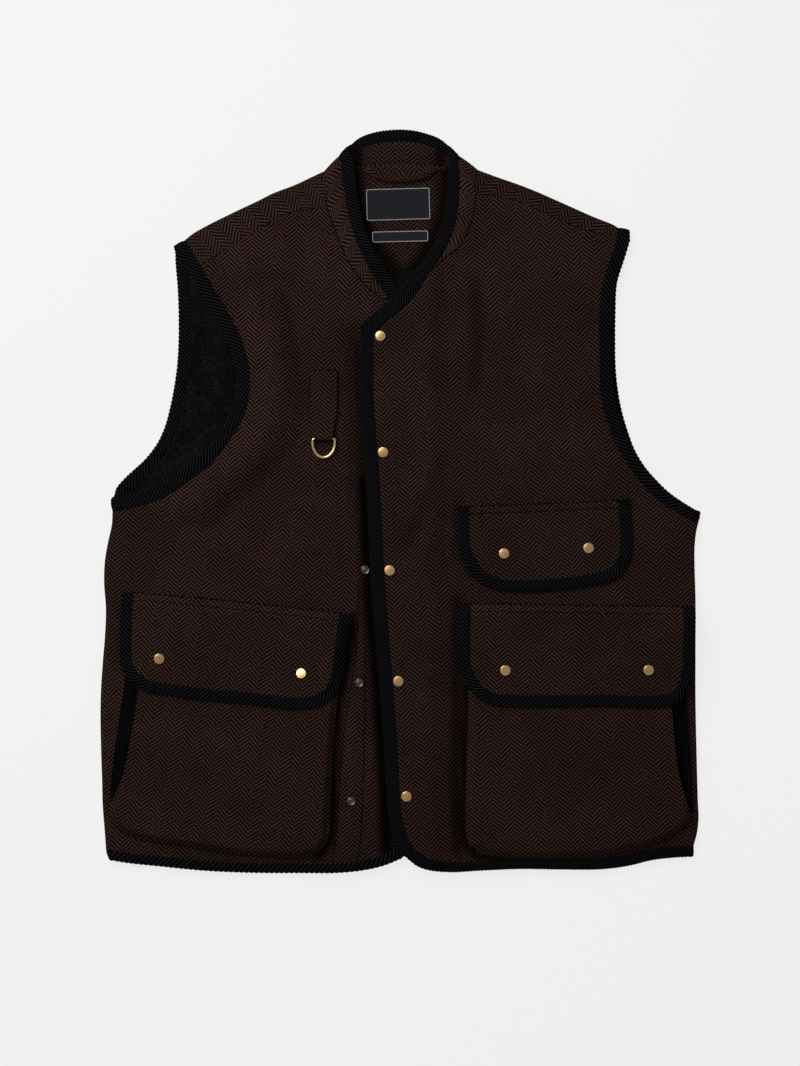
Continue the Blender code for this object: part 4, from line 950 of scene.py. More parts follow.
def addBack(rightHalf, leftHalf, backCollar, hemPairs):
    # the back lies on the floor and wraps over both shoulders to the fronts' seams
    radius = foldRadius(cloth["panel"])
    neck = offsetPath([row[2] for row in backCollar], -cloth["gap"])
    top = list(reversed(rightHalf["top"])) + neck + leftHalf["top"]
    hem = [row[0] for row in hemPairs[1:-1]]
    sides = []
    for half, corner in ((rightHalf, hem[0]), (leftHalf, hem[-1])):
        inward = half["side"] * (cloth["underTurn"] + cloth["gap"])
        path = [(spot[0] - inward, spot[1]) for spot in half["fold"]]
        path += [row[0] for row in half["backArmhole"][1:-1]] + [half["top"][-1]]
        sides.append([corner] + path[1:])
    body = coons(hem, top, *sides)
    shape = newShape()
    layCloth(shape, body, lambda spot: 0.0, facing=-1)
    for half in (rightHalf, leftHalf):
        rows, weaves = [], []
        outwards = [outFromMiddle(before, after) for before, after in zip(
            half["top"][:1] + half["top"], half["top"][1:] + half["top"][-1:])]
        outwards[0] = outFromMiddle(*half["collarTop"][-1][:2])
        for step in range(cells["roll"] + 1):
            share = step / cells["roll"]
            line, weave = [], []
            for spot, outward in zip(half["top"], outwards):
                line.append(turned(spot, outward, high * share, cloth["panel"]))
                reach = radius * math.pi * (1 - share)
                unrolled = (spot[0] + outward[0] * reach, spot[1] + outward[1] * reach)
                weave.append(stripWeave(unrolled, half["side"]))
            rows.append(line)
            weaves.append(weave)
        sewn = [toward(seam, fold, cloth["gap"]) for seam, fold in zip(half["seam"], half["top"])]
        tips = smoothRows([row[0] for row in reversed(half["tip"])], even(cells["strip"]))
        for step in range(1, cells["strip"] + 1):
            share = step / cells["strip"]
            line = [mix(fold, seam, share) for fold, seam in zip(half["top"], sewn)]
            if step < cells["strip"]:
                line[-1] = tips[step]
            rows.append([(*spot, panelTop + half["lift"](spot) * ease(share * shoulderRise))
                         for spot in line])
            weaves.append([stripWeave(spot, half["side"]) for spot in line])
        layGrid(shape, rows[::-1], weaves[::-1])
    bmesh.ops.remove_doubles(shape, verts=shape.verts, dist=1e-6)
    piece = placePiece("back", shape, "tweed", ["back"])
    thicken(piece, cloth["panel"])


# painted shadows inside the neck, beside the collar and the fronts' raised edges: path, half
# width, darkness
collarPaintedShadows = [
    ([(357, 148), (359, 174)], 13, 0.8), ([(441, 150), (439, 174)], 14, 0.75),
    ([(356, 166), (400, 160), (442, 166)], 40, 0.32),
]
facingPaintedShadows = [
    ([(356, 172), (358, 200), (365, 225), (376, 246), (394, 268)], 15, 0.75),
    ([(446, 172), (445, 200), (440, 222), (430, 244), (414, 268)], 15, 0.75),
]
liningCut = {"hem": 838, "shoulderClear": 6, "facingHalfWidth": 90, "facingDown": 268,
             "facingNeckClear": 1.5, "facingSide": 188, "sideClear": 1.5, "armholeClear": 0.1}


def addLining(rightHalf, leftHalf):
    # the fleece lining that shows in the armhole and below the neck facing
    shape = newShape()
    stop = liningCut["facingDown"] + cloth["gap"]
    outline = []
    for half in (rightHalf, leftHalf):
        side = half["side"]
        inward = side * (cloth["underTurn"] + cloth["gap"] + liningCut["sideClear"])
        outer = [(spot[0] - inward, spot[1]) for spot in half["fold"][1:]]
        outer[0] = (outer[0][0], liningCut["hem"])
        outer += [toward(row[0], row[1], -liningCut["armholeClear"])
                  for row in half["backArmhole"][4:-1]]
        facing = board["middle"][0] + side * (liningCut["facingHalfWidth"] + cloth["gap"])
        shoulder = list(reversed(offsetPath(half["top"], -side * liningCut["shoulderClear"])))
        shoulder = [spot for spot in shoulder[1:] if (spot[0] - facing) * side > 1]
        course = outer + shoulder + [(facing, shoulder[-1][1]), (facing, stop)]
        outline += course if side < 0 else course[::-1]
    level = onBack + cloth["lining"]
    shape.faces.new([shape.verts.new(onBoard(*spot, level)) for spot in outline[::-1]])
    bmesh.ops.triangulate(shape, faces=shape.faces)
    bmesh.ops.recalc_face_normals(shape, faces=shape.faces)
    if next(iter(shape.faces)).normal.z < 0:
        bmesh.ops.reverse_faces(shape, faces=shape.faces)
    piece = placePiece("lining_back", shape, "fleece", ["lining_back"])
    thicken(piece, cloth["lining"], rim=0.5)


def addFacing(backCollar):
    # the tweed facing inside the back neck, below the collar
    clear = liningCut["facingNeckClear"] + cloth["gap"]
    neck = [toward(row[2], row[0], -clear) for row in backCollar[1:-1]]
    across, half = board["middle"][0], liningCut["facingHalfWidth"]
    top = [(across - half, liningCut["facingSide"])] + neck
    top += [(across + half, liningCut["facingSide"])]
    top = smoothRows(top, even(cells["facingAcross"]))
    bottom = [(spot[0], liningCut["facingDown"]) for spot in top]
    rows = [[mix(under, over, share) for under, over in zip(bottom, top)]
            for share in even(cells["facingUp"])]
    shape = newShape()
    layCloth(shape, rows, lambda spot: onBack + cloth["facing"], lean=-1, slip=(5, 0))
    piece = placePiece("back_facing", shape, "tweed", ["back_facing"])
    paintShading(piece, {"ridges": [], "troughs": [], "paintedShadows": facingPaintedShadows})
    thicken(piece, cloth["facing"], rim=0.5)


collarCut = {"crown": 0.9, "fullWidth": 12, "steps": 8, "over": 0.3}


def addCollar(rightHalf, leftHalf, backCollar):
    # a ring of cloth: high on the fronts, low behind the neck, rolled between
    rows = []

    def section(course, turn, lift, outward):
        braidSeam = course[0]
        seam = toward(course[2], braidSeam, -collarCut["over"])
        free = toward(braidSeam, seam, cloth["gap"])
        line = []
        for share in even(collarCut["steps"]):
            spot = mix(seam, free, share)
            raised = (1 - math.cos(turn)) / 2
            crown = collarCut["crown"] * math.sin(math.pi * share) * raised
            crown *= min(math.dist(seam, free) / collarCut["fullWidth"], 1)
            across, down, level = turned(spot, outward, turn, cloth["panel"], -crown)
            line.append((across, down, level + lift(spot) * raised))
        rows.append(line)

    for course, turn, outward, lift in neckStops(rightHalf, leftHalf, backCollar, [], []):
        section(course, turn, lift, outward)
    along = lengthsOf([row[len(row) // 2] for row in rows])
    weaves = []
    for row, length in zip(rows, along):
        width = math.dist(row[0], row[-1])
        weaves.append([(length * mm, width * share * mm)
                       for share in even(collarCut["steps"])])
    shape = newShape()
    layGrid(shape, rows, weaves)
    piece = placePiece("collar", shape, "collarTweed", ["collar"])
    paintShading(piece, {"ridges": [], "troughs": [], "paintedShadows": collarPaintedShadows})
    thicken(piece, cloth["panel"])


# The bindings

def braidStops(pairs, turn, lift=None):
    return [(pair[0], pair[1], turn, straight, lift) for pair in pairs]


def rollStops(seam, edge, start, end, outward):
    return [(seam, edge, start + (end - start) * share, outward, None)
            for share in even(cells["roll"])]


def stopMiddle(stop):
    seam, edge, turn, outward = stop[:4]
    return turned(mix(seam, edge, 0.5), outward, turn, cloth["braid"])


def closeStops(stops):
    # stops a rib's quarter apart, each with its length along the binding
    fine = []
    walked = 0.0
    for one, other in zip(stops, stops[1:]):
        run = math.dist(stopMiddle(other), stopMiddle(one))
        count = max(1, round(run / braidLook["step"]))
        for step in range(count):
            share = step / count
            fine.append((mix(one[0], other[0], share), mix(one[1], other[1], share),
                         one[2] + (other[2] - one[2]) * share,
                         mix(one[3], other[3], share) if one[3] != straight else other[3],
                         one[4] or other[4], walked + run * share))
        walked += run
    fine.append((*stops[-1], walked))
    return fine


def braidRing(width, walked, lean, pitch):
    # the section's points, ribbed on a slant that goes on round the edge
    ring = []
    thick = cloth["braid"]
    half = width / 2
    for side in range(braidLook["sides"]):
        angle = 2 * math.pi * side / braidLook["sides"]
        flat, rise = math.cos(angle), math.sin(angle)
        a = math.copysign(abs(flat) ** braidLook["power"], flat)
        b = math.copysign(abs(rise) ** braidLook["power"], rise)
        over = half + a * half if b >= 0 else 2 * width - half - a * half
        slant = (walked + lean * over) / pitch
        rib = abs(math.cos(math.pi * slant)) ** braidLook["ribPower"] - braidLook["ribMiddle"]
        swell = braidLook["height"] * rib
        ring.append((half + a * (half + swell * abs(flat)) - braidLook["tuck"],
                     thick / 2 - b * (thick / 2 + swell * abs(rise)), slant, over))
    return ring


def addBraid(name, stops, lean=1, pitch=4.3, closed=False, under=None):
    # under gives the level of what the binding lies on, for one that isn't turned; the
    # first weave coordinate counts its ribs in thousandths
    shape = newShape()
    rings, weaves = [], []
    fine = closeStops(stops)
    if closed:
        fine = fine[:-1]
    for seam, edge, turn, outward, lift, walked in fine:
        full = math.dist(seam, edge)
        along = unit(seam, edge)
        ring, weave = [], []
        for width, depth, slant, over in braidRing(full + braidLook["tuck"], walked, lean,
                                                   pitch):
            spot = (seam[0] + along[0] * width, seam[1] + along[1] * width)
            if under:
                ring.append((*spot, under(spot) + cloth["braid"] - depth))
            else:
                across, down, level = turned(spot, outward, turn, cloth["braid"], depth)
                if lift:
                    level += lift(mix(seam, edge, braidLook["liftAt"])) * (1 - math.cos(turn)) / 2
                ring.append((across, down, level))
            weave.append((slant * mm, (over - lean * walked) * mm))
        rings.append(ring)
        weaves.append(weave + [weave[0]])
    tube(shape, rings, weaves, closed)
    placePiece(name, shape, "braid", [name], sharp=180)


def neckStops(rightHalf, leftHalf, backCollar, before, after):
    # every course round the neck with its turn: high on the fronts, low behind
    rising = before + rightHalf["collar"] + rightHalf["collarTop"][1:-1]
    falling = leftHalf["collarTop"][::-1][1:-1] + leftHalf["collar"][::-1] + after
    courseList = rising + backCollar + falling
    walked = lengthsOf([mix(row[0], row[1], 0.5) for row in courseList])
    first, last = len(rising), len(rising) + len(backCollar) - 1
    reach = braidLook["passOver"]
    stops = []
    for number, course in enumerate(courseList):
        onRight = number < (first + last) / 2
        corner = first if onRight else last
        over = (walked[number] - walked[corner]) * (1 if onRight else -1)
        turn = high * (1 - ease((over + reach) / (2 * reach)))
        outward = outFromMiddle(courseList[corner][0], courseList[corner][1])
        lift = rightHalf["lift"] if onRight else leftHalf["lift"]
        stops.append((course, turn, outward, lift))
    return stops


def armholeStops(half):
    # high on the front, low behind, and turned over at the shoulder's tip and at the side
    pairs = half["armhole"] + half["tip"][1:] + half["backArmhole"][::-1][1:]
    walked = lengthsOf([mix(*pair, 0.5) for pair in pairs])
    tip = walked[len(half["armhole"]) + len(half["tip"]) - 2]
    reach = braidLook["turnOver"]
    atTip = outFromMiddle(*half["tip"][-1])
    stops = []
    for pair, length in zip(pairs, walked):
        sunk = ease((length - tip + reach) / (2 * reach))
        toSide = min(length, walked[-1] - length)
        fromSide = length if length < tip else -toSide
        raised = ease((fromSide + reach) / (2 * reach))
        nearTip = abs(length - tip) < toSide
        turn = high * (1 - sunk if nearTip else raised)
        outward = atTip if nearTip else (half["side"], 0.0)
        stops.append((*pair, turn, outward, half["lift"]))
    return stops


def addBindings(rightHalf, leftHalf, backCollar, hemPairs):
    stops = [(course[0], course[1], turn, outward, lift)
             for course, turn, outward, lift in neckStops(
                 rightHalf, leftHalf, backCollar, rightHalf["end"][:-1],
                 leftHalf["end"][:-1][::-1])]
    addBraid("binding_neck", stops, pitch=3.3)
    for name, half, lean, pitch in (("binding_front_right", rightHalf, -1, 5.0),
                                    ("binding_front_left", leftHalf, 1, 3.5)):
        pairs = half["edge"] + half["hem"][1:]
        last = [toward(spot, before, cloth["gap"])
                for spot, before in zip(pairs[-1], pairs[-2])]
        addBraid(name, braidStops(pairs[:-1] + [last], high, half["lift"]), lean, pitch)
    stops = rollStops(*hemPairs[0], high, low, (-1, 0))
    stops += braidStops(hemPairs[1:-1], low)
    stops += rollStops(*hemPairs[-1], low, high, (1, 0))
    addBraid("binding_hem_back", stops, pitch=5.0)
    for name, half, lean, pitch in (("binding_armhole_right", rightHalf, -1, 4.2),
                                    ("binding_armhole_left", leftHalf, 1, 4.5)):
        addBraid(name, armholeStops(half), lean, pitch, closed=True)


# Pockets and flaps

pocketRight = {
    "lean": 8.0, "closed": ("right", "left"),
    "left": [(113, 822), (109.5, 810), (113, 799), (121, 783), (129.5, 748.6), (139, 690),
             (152, 612)],
    "right": [(322, 849), (328, 838), (330, 809), (332, 766), (335, 722), (337.5, 699),
              (340, 628)],
    "bottom": [(113, 822), (119, 829), (131, 836), (150, 841), (182, 845), (215, 851),
               (247, 854.5), (280, 857.5), (305, 857), (315, 854.5), (322, 849)],
    "top": [(152, 612), (340, 628)],
}
pocketLeft = {
    "lean": -2.5, "closed": ("left", "right"),
    "left": [(470, 846), (466.5, 835), (465.7, 800), (467, 750), (468.5, 690), (469, 617)],
    "right": [(684, 828), (690, 820), (690, 813), (684.6, 797), (679, 777), (675, 750),
              (671, 704), (664, 617)],
    "bottom": [(470, 846), (480, 852), (495, 856.5), (520, 858.3), (560, 858), (590, 856.3),
               (616, 853), (643, 846.8), (665, 839), (678, 832), (684, 828)],
    "top": [(469, 617), (664, 617)],
}
gussetRight = {
    "left": [(110.2, 798), (112, 775), (119, 722), (125, 682), (129, 630)],
    "right": [(112.4, 796), (119, 780), (131, 757), (137, 735), (146, 690), (157, 630)],
}
gussetLeft = {
    "left": [(690.8, 811), (685, 794), (673, 765), (669.5, 750), (665, 704), (658, 630)],
    "right": [(692.6, 812), (691, 777), (689.7, 750), (686, 704), (684, 630)],
}
flapRight = {
    "lean": 7.0,
    "left": [(138, 672), (133, 663), (131.8, 645), (134, 592)],
    "right": [(326, 688), (331, 677), (334.5, 650), (340, 612)],
    "bottom": [(138, 672), (150, 680), (175, 684.5), (200, 688), (250, 692.5), (300, 697.5),
               (315, 695.5), (326, 688)],
    "top": [(134, 592), (200, 597.5), (270, 604.5), (340, 612)],
    "inner": ((341, 690), (352.7, 613)),
}
flapLeft = {
    "lean": 1.5,
    "left": [(480.5, 685), (471, 668), (470, 640), (470, 603)],
    "right": [(671, 692.5), (678, 683), (681.5, 670), (682.5, 645), (683.5, 606)],
    "bottom": [(480.5, 685), (487, 690), (496, 693.5), (515, 695), (560, 695), (600, 694.5),
               (640, 695.5), (660, 695), (671, 692.5)],
    "top": [(470, 603), (540, 604), (610, 605), (683.5, 606)],
    "inner": ((458, 603), (458, 690)),
}
flapChest = {
    "lean": -6.0,
    "left": [(480.5, 567), (472.5, 554), (469.3, 540), (469, 506)],
    "right": [(613, 566.5), (618.5, 558), (620.3, 545), (619.5, 520), (618, 500)],
    "bottom": [(480.5, 567), (488, 574), (500, 579), (520, 580), (545, 579.5), (570, 577.5),
               (590, 574), (605, 571), (613, 566.5)],
    "top": [(469, 506), (520, 504), (570, 502), (618, 500)],
}
pocketCut = {"lift": 4.4, "edge": 7.0, "across": 84, "up": 90, "puff": 2.6, "puffFrom": 702,
             "puffOver": 50, "uneven": 1.2, "rippleFrom": 300}
flapCut = {"rise": 6.6, "edge": 11, "droop": 3.0, "droopWidth": 10, "braid": 11.8,
           "across": 80, "up": 44, "stitchDown": 8.2, "groove": 0.7, "grooveWidth": 2.2,
           "rippleFrom": -200}


def fillOutline(outline, across, up):
    # points stand closer near the edges, where the cloth bends most
    def crowded(count):
        return [(1 - math.cos(math.pi * share)) / 4 + share / 2 for share in even(count)]

    return coons(*[smoothRows(outline[side], crowded(count)) for side, count in (
        ("bottom", across), ("top", across), ("left", up), ("right", up))])


def sewnEdge(outline):
    # down the closed side, along the bottom and up to where the hand opening starts
    closed, opened = outline["closed"]
    bottom = outline["bottom"][::1 if closed == "left" else -1]
    return outline[closed][::-1] + bottom[1:] + outline[opened][1:3]


def addPocket(name, outline, slip):
    # a patch pocket: sewn down at its closed sides, free at its mouth and hand opening
    sewn = sewnEdge(outline)

    def top(spot):
        climb = ease(distanceTo(sewn, spot) / pocketCut["edge"])
        puff = pocketCut["puff"] * ease((spot[1] - pocketCut["puffFrom"]) / pocketCut["puffOver"])
        level = onPanel + (pocketCut["lift"] + puff) * climb + cloth["panel"]
        uneven = ripple((spot[0] + pocketCut["rippleFrom"], spot[1]))
        return level + climb * pocketCut["uneven"] * uneven

    shape = newShape()
    layCloth(shape, fillOutline(outline, pocketCut["across"], pocketCut["up"]), top,
             outline["lean"], slip)
    piece = placePiece(name, shape, "tweed", [name])
    thicken(piece, cloth["panel"], rim=0.9, steps=3)


gussetLook = {"ribs": 2.7, "height": 0.8, "ribMiddle": 0.6, "hollowed": 0.5, "across": 44,
              "up": 60}


def addGusset(name, outline, half):
    # ribs run up the cloth, side by side from its outer edge
    shape = newShape()
    sides = [smoothRows(outline[side], even(gussetLook["up"])) for side in ("left", "right")]
    rows, weaves = [], []
    for near, far in zip(*sides):
        width = math.dist(near, far)
        row, weave = [], []
        for share in even(gussetLook["across"]):
            spot = mix(near, far, share)
            reach = width * (share if half == "front_right" else 1 - share)
            rib = abs(math.cos(math.pi * reach / gussetLook["ribs"])) - gussetLook["ribMiddle"]
            rise = cloth["rib"] + gussetLook["height"] * rib
            row.append((*spot, onPanel + rise))
            # the first weave coordinate sets where the braid material paints groove shade and
            # crest highlight
            weave.append((reach / gussetLook["ribs"] * mm, spot[1] * mm))
        rows.append(row)
        weaves.append(weave)
    layGrid(shape, rows, weaves)
    piece = placePiece(name, shape, "rib", [name])
    thicken(piece, cloth["rib"] - gussetLook["hollowed"], rim=0)


def addFlap(name, outline, rise, slip):
    # sewn along its top edge, stitched again below it, and bound on its other three
    seam = (outline["top"][0], outline["top"][-1])

    def under(spot):
        climb = ease(beyond(seam, spot) / flapCut["edge"])
        sink = 0.0
        if "inner" in outline:
            width = abs(beyond(outline["inner"], spot))
            sink = flapCut["droop"] * (1 - ease(width / flapCut["droopWidth"]))
        uneven = ripple((spot[0] + flapCut["rippleFrom"], spot[1]))
        return onPanel + (rise - sink) * climb + climb * uneven

    def top(spot):
        reach = abs(beyond(seam, spot) - flapCut["stitchDown"]) / flapCut["grooveWidth"]
        groove = flapCut["groove"] * (1 - ease(reach))
        return under(spot) + cloth["panel"] - groove

    rows = fillOutline(outline, flapCut["across"], flapCut["up"])
    shape = newShape()
    layCloth(shape, rows, top, outline["lean"], slip)
    piece = placePiece(name, shape, "tweed", [name])
    thicken(piece, cloth["panel"], rim=0.8)
    leftEdge = [row[0] for row in reversed(rows)]
    rightEdge = [row[-1] for row in rows]
    seams = leftEdge + rows[0][1:] + rightEdge[1:]
    edges = offsetPath(seams, -flapCut["braid"])
    stops = braidStops(list(zip(seams, edges)), high)
    addBraid("binding_" + name, stops, under=under)
    return top


# Ring and its tab, hanger loop and labels

ring = {
    "across": 323.7, "bar": 439, "level": 10.6, "wire": 1.15, "swell": 0.3, "halfWidth": 11.15,
    "length": 18.4, "straight": 4.0, "sides": 16, "bow": 40, "barSteps": 8,
    # in from the half width, and along from the bar
    "corner": [(1.5, 0.0), (0.8, 0.12), (0.3, 0.6), (0.0, 1.6)],
}
tab = {
    "halfWidth": 13.2, "foldHalfWidth": 9.2, "narrowFrom": 412, "narrowTo": 436, "seat": 0.15,
    # down the board, and above the strip's upper or lower layer or the ring's bar
    "upper": [(371, -0.35), (372.2, 0.0), (385, 0.1), (400, 0.25), (412, 0.5), (424, 0.8)],
    "overBar": [(430, 0.75), (434, 1.5)],
    "underBar": [(433, -1.35)],
    "lower": [(424, 0.25), (400, 0.1), (371, 0.0)],
    "turn": 2.3, "turnFrom": 115, "turnBy": 230, "turnSteps": 16,
    "across": 26, "slip": 4.7,
    # the long edges are folded in: height, middle and width of a low ridge and a groove
    "ridges": [(0.22, 0.86, 0.08), (-0.30, 0.72, 0.05)], "ridgedRows": 12,
}


def addRing():
    # a wire bow on a straight bar, with the bow's end on the panel
    drop = ring["level"] - (onPanel + ring["wire"] * (1 + ring["swell"]))
    slope = math.asin(drop / ring["length"])
    half, straightRun = ring["halfWidth"], ring["straight"]
    corner = [(inward - half, along) for inward, along in ring["corner"]]
    corner.append((-half, straightRun))
    barEnd = -corner[0][0]
    path = [(barEnd * (1 - 2 * share), 0.0) for share in even(ring["barSteps"])[:-1]]
    path += corner
    for step in range(1, ring["bow"]):
        angle = math.pi * step / ring["bow"]
        path.append((-half * math.cos(angle),
                     straightRun + (ring["length"] - straightRun) * math.sin(angle)))
    path += [(-x, along) for x, along in reversed(corner[1:])]
    rings = []
    for number, (x, along) in enumerate(path):
        way = unit(path[number - 1], path[(number + 1) % len(path)])
        loop = []
        wire = ring["wire"] * (1.0 + ring["swell"] * ease(along / ring["length"]))
        for side in range(ring["sides"]):
            angle = 2 * math.pi * (side + 0.5) / ring["sides"]
            flat, rise = wire * math.cos(angle), wire * math.sin(angle)
            reach = along - way[0] * flat
            loop.append((ring["across"] + x + way[1] * flat,
                         ring["bar"] + reach * math.cos(slope) + rise * math.sin(slope),
                         ring["level"] - reach * math.sin(slope) + rise * math.cos(slope)))
        rings.append(loop)
    shape = newShape()
    tube(shape, rings, [[(0, 0)] * (ring["sides"] + 1)] * len(rings), closed=True)
    placePiece("d_ring", shape, "wire", ["d_ring"], body="ring", sharp=180)


def addTab():
    # a doubled strip, sewn at its top end and folded round the ring's bar
    sewn = onPanel + cloth["tab"] + tab["seat"]
    gap = (cloth["tab"] + cloth["gap"]) / 2
    bar, level = ring["bar"], ring["level"]
    path = [(down, sewn + gap + height) for down, height in tab["upper"]]
    path += [(down, level + height) for down, height in tab["overBar"]]
    for share in even(tab["turnSteps"]):
        angle = math.radians(tab["turnFrom"] - tab["turnBy"] * share)
        path.append((bar + tab["turn"] * math.cos(angle), level + tab["turn"] * math.sin(angle)))
    path += [(down, level + height) for down, height in tab["underBar"]]
    path += [(down, sewn - gap + height) for down, height in tab["lower"]]
    rows, weaves = [], []
    walked = lengthsOf(path)
    for number, (down, height) in enumerate(path):
        way = wayAt(path, number)
        share = ease((down - tab["narrowFrom"]) / (tab["narrowTo"] - tab["narrowFrom"]))
        half = tab["halfWidth"] + (tab["foldHalfWidth"] - tab["halfWidth"]) * share
        row, weave = [], []
        for step in even(tab["across"]):
            side = 2 * step - 1
            out = cloth["tab"] / 2
            if number < tab["ridgedRows"]:
                out += sum(crest * math.exp(-((abs(side) - middle) / width) ** 2)
                           for crest, middle, width in tab["ridges"])
            row.append((ring["across"] + side * half, down + way[1] * out,
                        height + way[0] * out))
            weave.append(((side * half + tab["slip"]) * mm, -walked[number] * mm))
        rows.append(row)
        weaves.append(weave)
    shape = newShape()
    layGrid(shape, rows, weaves)
    piece = placePiece("ring_tab", shape, "tweed", ["ring_tab"])
    thicken(piece, cloth["tab"], rim=0.3)


hanger = {"path": [(367.5, 166.5), (371, 171), (377, 174.6), (386, 177), (400, 178), (414, 177),
                   (423, 174.6), (430, 171), (433.5, 166.5)],
          "halfWidth": 4.3, "height": 4.6, "sides": 14, "steps": 72,
          "endPlump": 0.75, "swellPower": 0.5, "risePower": 0.9}


def addHanger():
    # a narrow strip sewn into a soft round loop
    centre = smoothRows(hanger["path"], even(hanger["steps"]))
    walked = lengthsOf(centre)
    rings, weaves = [], []
    for number, spot in enumerate(centre):
        way = wayAt(centre, number)
        share = number / hanger["steps"]
        swell = math.sin(math.pi * share) ** hanger["swellPower"]
        plump = hanger["endPlump"] + (1 - hanger["endPlump"]) * swell
        loop, weave = [], []
        for side in range(hanger["sides"]):
            angle = 2 * math.pi * side / hanger["sides"]
            flat = hanger["halfWidth"] * math.cos(angle)
            rise = hanger["height"] / 2 * plump * math.sin(angle)
            rise = math.copysign(abs(rise) ** hanger["risePower"], rise)
            loop.append((spot[0] + way[1] * flat, spot[1] - way[0] * flat,
                         onFacing + hanger["height"] / 2 * plump + rise))
            weave.append((walked[number] * mm, hanger["halfWidth"] * angle * mm))
        rings.append(loop)
        weaves.append(weave + [(walked[number] * mm, hanger["halfWidth"] * 2 * math.pi * mm)])
    shape = newShape()
    tube(shape, rings, weaves)
    placePiece("hanger_loop", shape, "tweed", ["hanger_loop"], sharp=180)


labels = {
    # name: middle across, middle down, width, height, slope in degrees
    "label_main": (398.2, 203.9, 64, 32, 1.6),
    "label_size": (400.2, 236.2, 56.5, 11.3, 1.3),
}
labelLook = {"corner": 2.0, "margin": 0.25, "frame": 0.85, "slope": 0.12, "proud": 0.12}


def addLabel(name, across, down, width, height, slope):
    # woven tape with a plain frame and nothing on it
    shape = newShape()
    bmesh.ops.create_grid(shape, x_segments=1, y_segments=1, size=0.5)
    bmesh.ops.scale(shape, verts=shape.verts, vec=(width * mm, height * mm, 1))
    bmesh.ops.bevel(shape, geom=list(shape.verts), affect="VERTICES",
                    offset=labelLook["corner"] * mm, segments=5, profile=0.5, material=-1)

    def inset(faces, part, depth=0.0):
        return bmesh.ops.inset_region(shape, faces=faces, thickness=labelLook[part] * mm,
                                      depth=depth * mm, use_even_offset=True,
                                      use_boundary=True)["faces"]

    middle = list(shape.faces)
    inset(middle, "margin")
    border = inset(middle, "frame")
    for face in border:
        face.material_index = 1
    for face in inset(border, "slope", labelLook["proud"]):
        face.material_index = 1
    turn = Matrix.Rotation(math.radians(slope), 3, "Z")
    bmesh.ops.rotate(shape, verts=shape.verts, matrix=turn)
    spot = onBoard(across, down, onFacing + cloth["label"])
    bmesh.ops.translate(shape, verts=shape.verts, vec=spot)
    piece = placePiece(name, shape, ("label", "frame"), [name], sharp=30)
    thicken(piece, cloth["label"], rim=0)


# Metal snap fastenings

capShape = {
    # radius and height above the cloth, from the middle outwards
    "profile": [(0, 1.68), (2.2, 1.64), (3.6, 1.52), (4.15, 1.40), (4.4, 1.42), (4.75, 1.36),
                (5.05, 1.08), (5.22, 0.7), (5.3, 0.25), (5.2, 0.0)],
    "steps": 40,
}
studShape = {
    "profile": [(0, 0.55), (0.75, 0.55), (0.85, 0.9), (1.1, 1.7), (1.5, 1.85), (1.85, 1.7),
                (1.95, 1.2), (1.8, 0.75), (2.3, 0.5), (3.1, 0.5), (3.5, 0.8), (4.0, 0.85),
                (4.35, 0.5), (4.4, 0.0)],
    "steps": 32,
}
snapCaps = {
    # name: across, down, the way it leans, by how many degrees
    "cap_front_1": (380.4, 336.2, 150, 2.5),
    "cap_front_2": (383.1, 452.3, 200, 2.0),
    "cap_front_3": (389.6, 570.4, 120, 1.5),
    "cap_front_4": (398.4, 680.9, 170, 2.0),
    "cap_front_5": (406.4, 796, 230, 2.5),
    "cap_chest_1": (504, 553.5, 90, 1.5),
    "cap_chest_2": (588.4, 548, 60, 4.0),
    "cap_left_1": (505.1, 670, 300, 2.0),
    "cap_left_2": (647.8, 669.7, 20, 3.0),
    "cap_right_1": (159.8, 658.4, 315, 9.0),
    "cap_right_2": (301.5, 673, 130, 14.0),
}
snapStuds = {
    "stud_front_3": (365.3, 569.8, 10, 3),
    "stud_front_4": (359.2, 682.8, 60, 2),
    "stud_front_5": (351.2, 801, 100, 2),
}


aboveCloth = 0.1       # snaps and stitches stand on the cloth


def addSnap(name, look, turnedShape, under, across, down, way, lean):
    # a profile spun about its own middle, leaning a little as a sewn snap does
    level = under((across, down)) + aboveCloth
    shape = newShape()
    verts = [shape.verts.new((radius * mm, 0, height * mm))
             for radius, height in turnedShape["profile"]]
    edges = [shape.edges.new(pair) for pair in zip(verts, verts[1:])]
    bmesh.ops.spin(shape, geom=verts + edges, cent=(0, 0, 0), axis=(0, 0, 1), dvec=(0, 0, 0),
                   angle=2 * math.pi, steps=turnedShape["steps"], use_merge=True,
                   use_duplicate=False)
    bmesh.ops.remove_doubles(shape, verts=shape.verts, dist=1e-6)
    bmesh.ops.holes_fill(shape, edges=[e for e in shape.edges if e.is_boundary], sides=0)
    bmesh.ops.recalc_face_normals(shape, faces=shape.faces)
    angle = math.radians(way)
    axis = Vector((-math.sin(angle), math.cos(angle), 0))
    turn = Matrix.Rotation(math.radians(lean), 3, axis)
    bmesh.ops.rotate(shape, verts=shape.verts, matrix=turn)
    bmesh.ops.translate(shape, verts=shape.verts, vec=onBoard(across, down, level))
    placePiece(name, shape, look, [name], sharp=60)


# Charted stitch lines

stitchLook = {"length": 3.0, "gap": 0.3, "width": 1.4, "height": 0.6, "edge": 0.6,
              "seamSteps": 12}
tabSeams = [
    [(310.0, 371), (310.2, 400), (310.6, 414), (312.6, 424)],
    [(337.4, 371), (337.2, 400), (336.8, 414), (334.8, 424)],
    [(310.6, 370.4), (324, 370.2), (336.8, 370.4)],
]
placketLines = [
    [(365.5, 600), (365.0, 640), (364.8, 700), (363.4, 760), (361.6, 820), (358.3, 858)],
    [(358.5, 578), (357, 640), (350, 694), (342, 748), (336.5, 830), (333, 863)],
]


